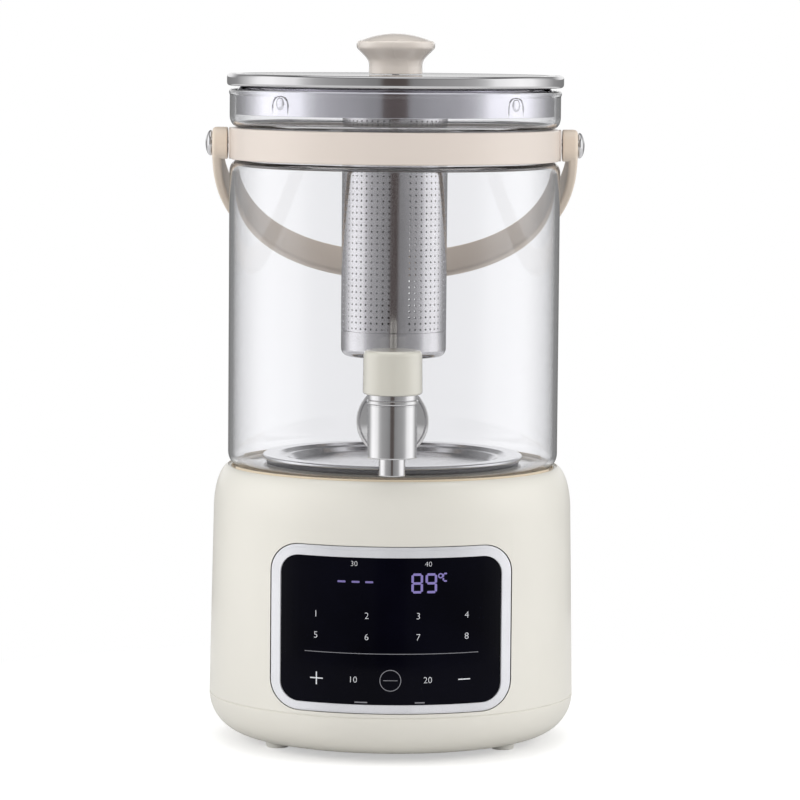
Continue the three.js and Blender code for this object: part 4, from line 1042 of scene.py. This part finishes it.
def make_tube():
    """Perforated tube: a column of pierced cells, repeated round the axis, with a plain seam."""
    tube = make_cell()
    merged = {"use_relative_offset": False, "use_merge_vertices": True}
    modify(tube, "ARRAY", count=HOLE_ROWS, use_constant_offset=True, merge_threshold=0.005 * MM,
           constant_offset_displace=(0, 0, ROW_PITCH * MM), **merged)
    place(tube, turn=(0, 0, FIRST_COLUMN))
    turn_mark = add_to_scene("turn mark", None)
    turn_mark.rotation_euler = (0, 0, math.radians(COLUMN_TURN))
    bpy.context.view_layer.update()
    modify(tube, "ARRAY", count=HOLE_COLUMNS, use_object_offset=True, offset_object=turn_mark,
           merge_threshold=0.02 * MM, **merged)
    remove(turn_mark)
    close_seam(tube)
    raise_collar(tube)
    close_up()
    if sum(face.normal.xy.dot(face.center.xy) for face in tube.data.polygons) < 0:
        tube.data.flip_normals()
    smooth(thicken(tube, TUBE_WALL, -1), 40)
    round_off(tube)
    return place(tube, (0, JUG_Y, 0))


def close_seam(tube):
    """Bridges the plain strip between the last column of holes and the first."""
    first = math.radians(FIRST_COLUMN - COLUMN_TURN / 2)
    last = math.radians(FIRST_COLUMN + (HOLE_COLUMNS - 0.5) * COLUMN_TURN)

    def on_seam(point):
        angle = math.atan2(point.x, -point.y)
        return min(abs(angle - first), abs(angle + 2 * math.pi - last)) < 0.01

    select_edges(tube, on_seam)
    bpy.ops.mesh.bridge_edge_loops(number_cuts=4, interpolation="SURFACE")
    close_mesh()


def raise_collar(tube):
    """Draws the plain top of the tube up from the last row of holes, and stays in edit mode."""
    top = TUBE_BOTTOM + HOLE_ROWS * ROW_PITCH
    select_edges(tube, lambda point: abs(point.z - top) < 0.01)
    rise = {"value": (0, 0, (TUBE_TOP - top) * MM)}
    bpy.ops.mesh.extrude_edges_move(TRANSFORM_OT_translate=rise)


def round_off(tube):
    """Takes the outside's normals from a plain round tube, so that the sheet mirrors evenly."""
    outside = tube.vertex_groups.new(name="outside")
    outside.add([vertex.index for vertex in tube.data.vertices
                 if vertex.co.xy.length > (TUBE_RADIUS - 0.2) * MM], 1, "REPLACE")
    line = [(TUBE_RADIUS, TUBE_BOTTOM), (TUBE_RADIUS, TUBE_TOP)]
    former = turned("former", line, 4 * HOLE_COLUMNS, ORIGIN, closed=False)
    modify(tube, "DATA_TRANSFER", object=former, use_loop_data=True, vertex_group="outside",
           data_types_loops={"CUSTOM_NORMAL"}, loop_mapping="POLYINTERP_NEAREST")
    remove(former)
    tube.vertex_groups.clear()


def make_infuser_base():
    """Pressed cup that closes the tube, with a spigot inside it."""
    profile = [(0, 192.7)] + bow(22.3, 196.7, 4, 4, -90, 0, 10)
    profile += [(TUBE_RADIUS, 200.0), (TUBE_RADIUS, 205.7, 0.3), (25.2, 205.7), (25.2, 209.7, 0.2),
                (24.4, 209.7, 0.2), (24.4, 193.5, 3.2), (0, 193.5)]
    return turned("infuser_cup", profile, SMALL_ROUND, steps=8)


settle(make_tube(), "infuser", "brushed_steel", ["infuser_tube"], tube_metal)
settle(make_infuser_base(), "infuser", "brushed_steel", ["infuser_base"], tube_metal)


# ---- print on the touch glass

def upright(plate, x, z):
    """Stands a flat plate up in front of the wall."""
    return place(plate, (x, IN_FRONT, z), (90, 0, 0))


def numeral(text, size, x, z):
    """A number or sign in a plain face, as a flat front plate centred on its place."""
    deselect()
    bpy.ops.object.text_add()
    letters = bpy.context.object.data
    letters.body = text
    letters.size = size * MM
    letters.align_x = letters.align_y = "CENTER"
    letters.resolution_u = 3
    letters.offset = -0.07 * MM
    bpy.ops.object.convert(target="MESH")
    return upright(bpy.context.object, x, z)


def bar(width, height, x, z, corner=0.0):
    """A short flat bar, with round corners if asked."""
    plate = flat_plate("bar", width, height)
    if corner:
        open_mesh(plate)
        bpy.ops.mesh.bevel(offset=corner * MM, segments=3, affect="VERTICES")
        close_mesh()
    return upright(plate, x, z)


def flat_ring(inner, outer, x, z, sides=LEAST_ROUND):
    """A flat ring that faces the front."""
    deselect()
    bpy.ops.mesh.primitive_circle_add(vertices=sides, radius=outer * MM, fill_type="NGON")
    plate = bpy.context.object
    open_mesh(plate)
    hollow_out(outer - inner)
    close_mesh()
    return upright(plate, x, z)


# Lit bars of each sign, lettered clockwise from the top with g in the middle
SEGMENTS = {"8": "abcdefg", "9": "abcdfg", "C": "adef"}
SEGMENT_GAP = 0.45


def seven_segments(sign, x, z, height, width, stroke):
    """The lit bars of one digit of a seven-segment display."""
    across = width - stroke
    up = (height - stroke) / 2
    lying = {"a": (0, up), "g": (0, 0), "d": (0, -up)}
    standing = {"f": (-across / 2, up / 2), "b": (across / 2, up / 2),
                "e": (-across / 2, -up / 2), "c": (across / 2, -up / 2)}
    bars = []
    for letter in SEGMENTS[sign]:
        dx, dz = lying.get(letter) or standing[letter]
        size = (across - SEGMENT_GAP, stroke) if letter in lying else (stroke, up - SEGMENT_GAP)
        bars.append(bar(*size, x + dx, z + dz, stroke * 0.42))
    return bars


def print_on_glass(name, marks, look):
    """Joins flat marks, lays them on the touch glass and gives them their ink."""
    first, *others = marks
    add_shell(named(first, name), *others)
    slice_upright(first, 54, 2)
    wrap_on_wall(first, 0.2, 0)
    settle(first, "base", "black_glass", (), look)


MODE_COLUMNS = (-36.4, -11.7, 13.3, 36.8)
MODE_ROWS = (73.6, 63.3)
KEY_ROW = 42.4
TOP_ROW = 98.8
TIMER_ROW = 31.6
DIGIT_Z = 89.65
DASH_Z = 90.1

white_marks = [numeral(str(4 * row + column + 1), 4.6, x, z)
               for row, z in enumerate(MODE_ROWS) for column, x in enumerate(MODE_COLUMNS)]
white_marks += [bar(6.2, 0.55, -35.9, KEY_ROW), bar(0.55, 6.2, -35.9, KEY_ROW),
                bar(5.8, 0.55, 35.8, KEY_ROW)]
white_marks += [numeral("10", 4.4, -18.2, KEY_ROW), numeral("20", 4.4, 18.1, KEY_ROW)]
white_marks += [numeral("30", 3.6, -18.0, TOP_ROW), numeral("40", 3.6, 18.0, TOP_ROW)]
print_on_glass("panel_numbers", white_marks, white_ink)
grey_marks = [bar(84.2, 0.3, 0.4, 55.3), flat_ring(4.9, 5.25, 0, KEY_ROW),
              bar(7.0, 0.3, 0, KEY_ROW), bar(6.2, 0.6, -14.2, TIMER_ROW),
              bar(4.8, 0.6, 14.3, TIMER_ROW)]
print_on_glass("panel_lines", grey_marks, dim_ink)
lit_marks = [lit_bar for sign, x in (("8", 12.6), ("9", 19.4))
             for lit_bar in seven_segments(sign, x, DIGIT_Z, 9.7, 5.6, 1.15)]
lit_marks += [flat_ring(0.7, 1.3, 23.9, 93.2, 16)] + seven_segments("C", 26.2, 92.4, 4.4, 2.8, 0.8)
print_on_glass("display_digits", lit_marks, lit_segment)
dashes = [bar(3.9, 0.95, x, DASH_Z, 0.35) for x in (-24.0, -17.2, -10.6)]
print_on_glass("display_dashes", dashes, low_segment)


# ---- floor, light and camera

def joined(nodes, operation, first, second):
    """Output of a two-way sum, product, comparison or the larger of two values."""
    node = nodes.new("ShaderNodeMath")
    node.operation = operation
    for socket, value in zip(node.inputs, (first, second)):
        if isinstance(value, (int, float)):
            socket.default_value = value
        else:
            link(value, socket)
    return node.outputs["Value"]


def seen_directly(nodes):
    """One for what the camera sees, also through glass, and nothing for light on the object."""
    path = nodes.new("ShaderNodeLightPath")
    bounced = joined(nodes, "ADD", path.outputs["Glossy Depth"], path.outputs["Diffuse Depth"])
    straight = joined(nodes, "LESS_THAN", bounced, 0.5)
    through = joined(nodes, "MULTIPLY", path.outputs["Is Transmission Ray"], straight)
    return joined(nodes, "MAXIMUM", path.outputs["Is Camera Ray"], through)


BACKGROUND = "ShaderNodeBackground"
EMISSION = "ShaderNodeEmission"


def light_of(nodes, kind, strength=1.0, colour=(1, 1, 1)):
    """A plain emission or background shader."""
    node = nodes.new(kind)
    set_inputs(node, {"Color": (*colour, 1), "Strength": strength})
    return node


def turned_from_front(degrees):
    """Place on the room's ramp of a direction that many degrees from the front."""
    return (1 - math.cos(math.radians(degrees))) / 2


# The room as metal sees it, from the dark gap at the camera round to the back: degrees and level
ROOM = [(0, (0.085, 0.072, 0.068)), (7.5, (0.10, 0.087, 0.083)), (11, 0.22), (25, 0.27), (47, 0.33),
        (57, 0.41), (64, 0.55), (72, 0.82), (95, 1.0), (108, 0.95), (121, 0.60), (138, 0.28),
        (180, 0.16)]
ROOM_LIGHT = 1.4
# Where the backdrop stands from front (0) to back (1), and the heights from straight down (0)
# to straight up (1) at which the backdrop, the ceiling, its bright part and the ground fade
BACKDROP_SIDES = [(0.88, 0.0), (0.95, 1.0)]
BACKDROP_HEIGHTS = [(0.50, 0.0), (0.512, 1.0), (0.60, 1.0), (0.67, 0.0)]
CEILING_HEIGHTS = [(0.74, 0.0), (0.84, 1.0)]
CEILING_LEVELS = [(0.90, 0.15), (0.93, 1.0)]
GROUND_HEIGHTS = [(0.36, 1.0), (0.42, 0.0)]
GROUND_GREY = (0.85, 0.85, 0.85)


def as_share(nodes, value):
    """Moves a value from the span of -1 to 1 to the span of 0 to 1."""
    spread = nodes.new("ShaderNodeMapRange")
    set_inputs(spread, {"From Min": -1})
    link(value, spread.inputs["Value"])
    return spread.outputs["Result"]


def make_world():
    """Studio: dark behind the camera, bright side walls, a white backdrop and a panel overhead."""
    world = bpy.data.worlds.new("studio")
    bpy.context.scene.world = world
    world.use_nodes = True
    nodes = world.node_tree.nodes
    direction = nodes.new("ShaderNodeTexCoord").outputs["Generated"]
    level, apart = sideways(nodes, direction, "NORMALIZE")
    heading = nodes.new("ShaderNodeSeparateXYZ")
    link(level.outputs["Vector"], heading.inputs["Vector"])
    turn = as_share(nodes, heading.outputs["Y"])
    height = as_share(nodes, apart.outputs["Z"])
    stops = [(turned_from_front(degrees), value) for degrees, value in ROOM]
    studio = light_of(nodes, BACKGROUND, ROOM_LIGHT)
    link(ramp_of(nodes, turn, stops), studio.inputs["Color"])
    plain = light_of(nodes, BACKGROUND)
    overhead = light_of(nodes, BACKGROUND)
    link(ramp_of(nodes, height, CEILING_LEVELS), overhead.inputs["Color"])
    ground = light_of(nodes, BACKGROUND, 1.0, GROUND_GREY)
    above = ramp_of(nodes, height, BACKDROP_HEIGHTS)
    behind = ramp_of(nodes, turn, BACKDROP_SIDES)
    room = studio.outputs["Background"]
    for factor, part in ((joined(nodes, "MULTIPLY", above, behind), plain),
                         (ramp_of(nodes, height, CEILING_HEIGHTS), overhead),
                         (ramp_of(nodes, height, GROUND_HEIGHTS), ground)):
        room = blended(nodes, factor, room, part.outputs["Background"])
    seen = blended(nodes, seen_directly(nodes), room, plain.outputs["Background"])
    link(seen, nodes["World Output"].inputs["Surface"])


# The floor's radius, the distances between which it turns to plain white, all in metres, and the
# light that it gives off so that only the shadow is darker than the backdrop
FLOOR_RADIUS = 0.5
FLOOR_FADE = [(0.12, 0.0), (0.32, 1.0)]
FLOOR_LIFT = 0.45


def make_floor():
    """Round white floor: it takes the object's shadow, and turns to plain white away from it."""
    deselect()
    bpy.ops.mesh.primitive_circle_add(vertices=SMALL_ROUND, radius=FLOOR_RADIUS, fill_type="NGON")
    floor = place(bpy.context.object, (0, JUG_Y, 0))
    floor.name = "floor"
    material, nodes = new_finish("white floor")
    shader = nodes["Principled BSDF"]
    set_inputs(shader, {"Base Color": (0.75, 0.75, 0.75, 1), "Roughness": 0.6})
    lift = light_of(nodes, EMISSION, FLOOR_LIFT)
    near = nodes.new("ShaderNodeAddShader")
    link(shader.outputs["BSDF"], near.inputs[0])
    link(lift.outputs["Emission"], near.inputs[1])
    plain = light_of(nodes, EMISSION)
    vector = surface_coordinates(nodes, jug_axis)
    reach = sideways(nodes, vector, "LENGTH")[0]
    away = ramp_of(nodes, reach.outputs["Value"], FLOOR_FADE)
    shown = blended(nodes, away, near.outputs["Shader"], plain.outputs["Emission"])
    seen = blended(nodes, seen_directly(nodes), shader.outputs["BSDF"], shown)
    link(seen, nodes["Material Output"].inputs["Surface"])
    floor.data.materials.append(material)


LAMP_TARGET = Vector((0, 0, 0.2))
# Each softbox: place and size in metres, and power in watts
SOFTBOXES = {
    "front softbox": ((-0.2, -2.3, 0.85), (2.4, 1.4), 17),
    "left softbox": ((-1.9, -0.45, 0.95), (1.2, 1.5), 11),
    "right softbox": ((1.9, -0.45, 0.95), (1.2, 1.5), 12),
    "top softbox": ((0, 0.25, 2.0), (1.5, 1.2), 8),
}


def make_lamp(name, location, size, power):
    """A soft rectangular lamp that faces the kettle; metal mirrors the room instead of it."""
    data = bpy.data.lights.new(name, "AREA")
    data.shape = "RECTANGLE"
    data.size, data.size_y = size
    data.energy = power
    lamp = add_to_scene(name, data)
    lamp.location = location
    aim = LAMP_TARGET - Vector(location)
    lamp.rotation_euler = aim.to_track_quat("-Z", "Y").to_euler()
    lamp.visible_camera = lamp.visible_glossy = lamp.visible_transmission = False


CAMERA_LENS = 189
CAMERA_PLACE = (3.53, JUG_Y - 2100, 360.4)
CAMERA_TILT = math.radians(90 - 5.17)
CAMERA_ROLL = math.radians(0.48)


def make_camera():
    """Long lens, looking slightly down, with the photograph's small roll."""
    data = bpy.data.cameras.new("camera")
    data.sensor_width = 36
    data.lens = CAMERA_LENS
    data.clip_end = 100
    camera = add_to_scene("camera", data)
    camera.location = Vector(CAMERA_PLACE) * MM
    turn = Matrix.Rotation(CAMERA_TILT, 3, "X") @ Matrix.Rotation(CAMERA_ROLL, 3, "Z")
    camera.rotation_euler = turn.to_euler()
    bpy.context.scene.camera = camera


make_world()
make_floor()
for name, (location, size, power) in SOFTBOXES.items():
    make_lamp(name, location, size, power)
make_camera()
bpy.context.scene.view_settings.view_transform = "Standard"
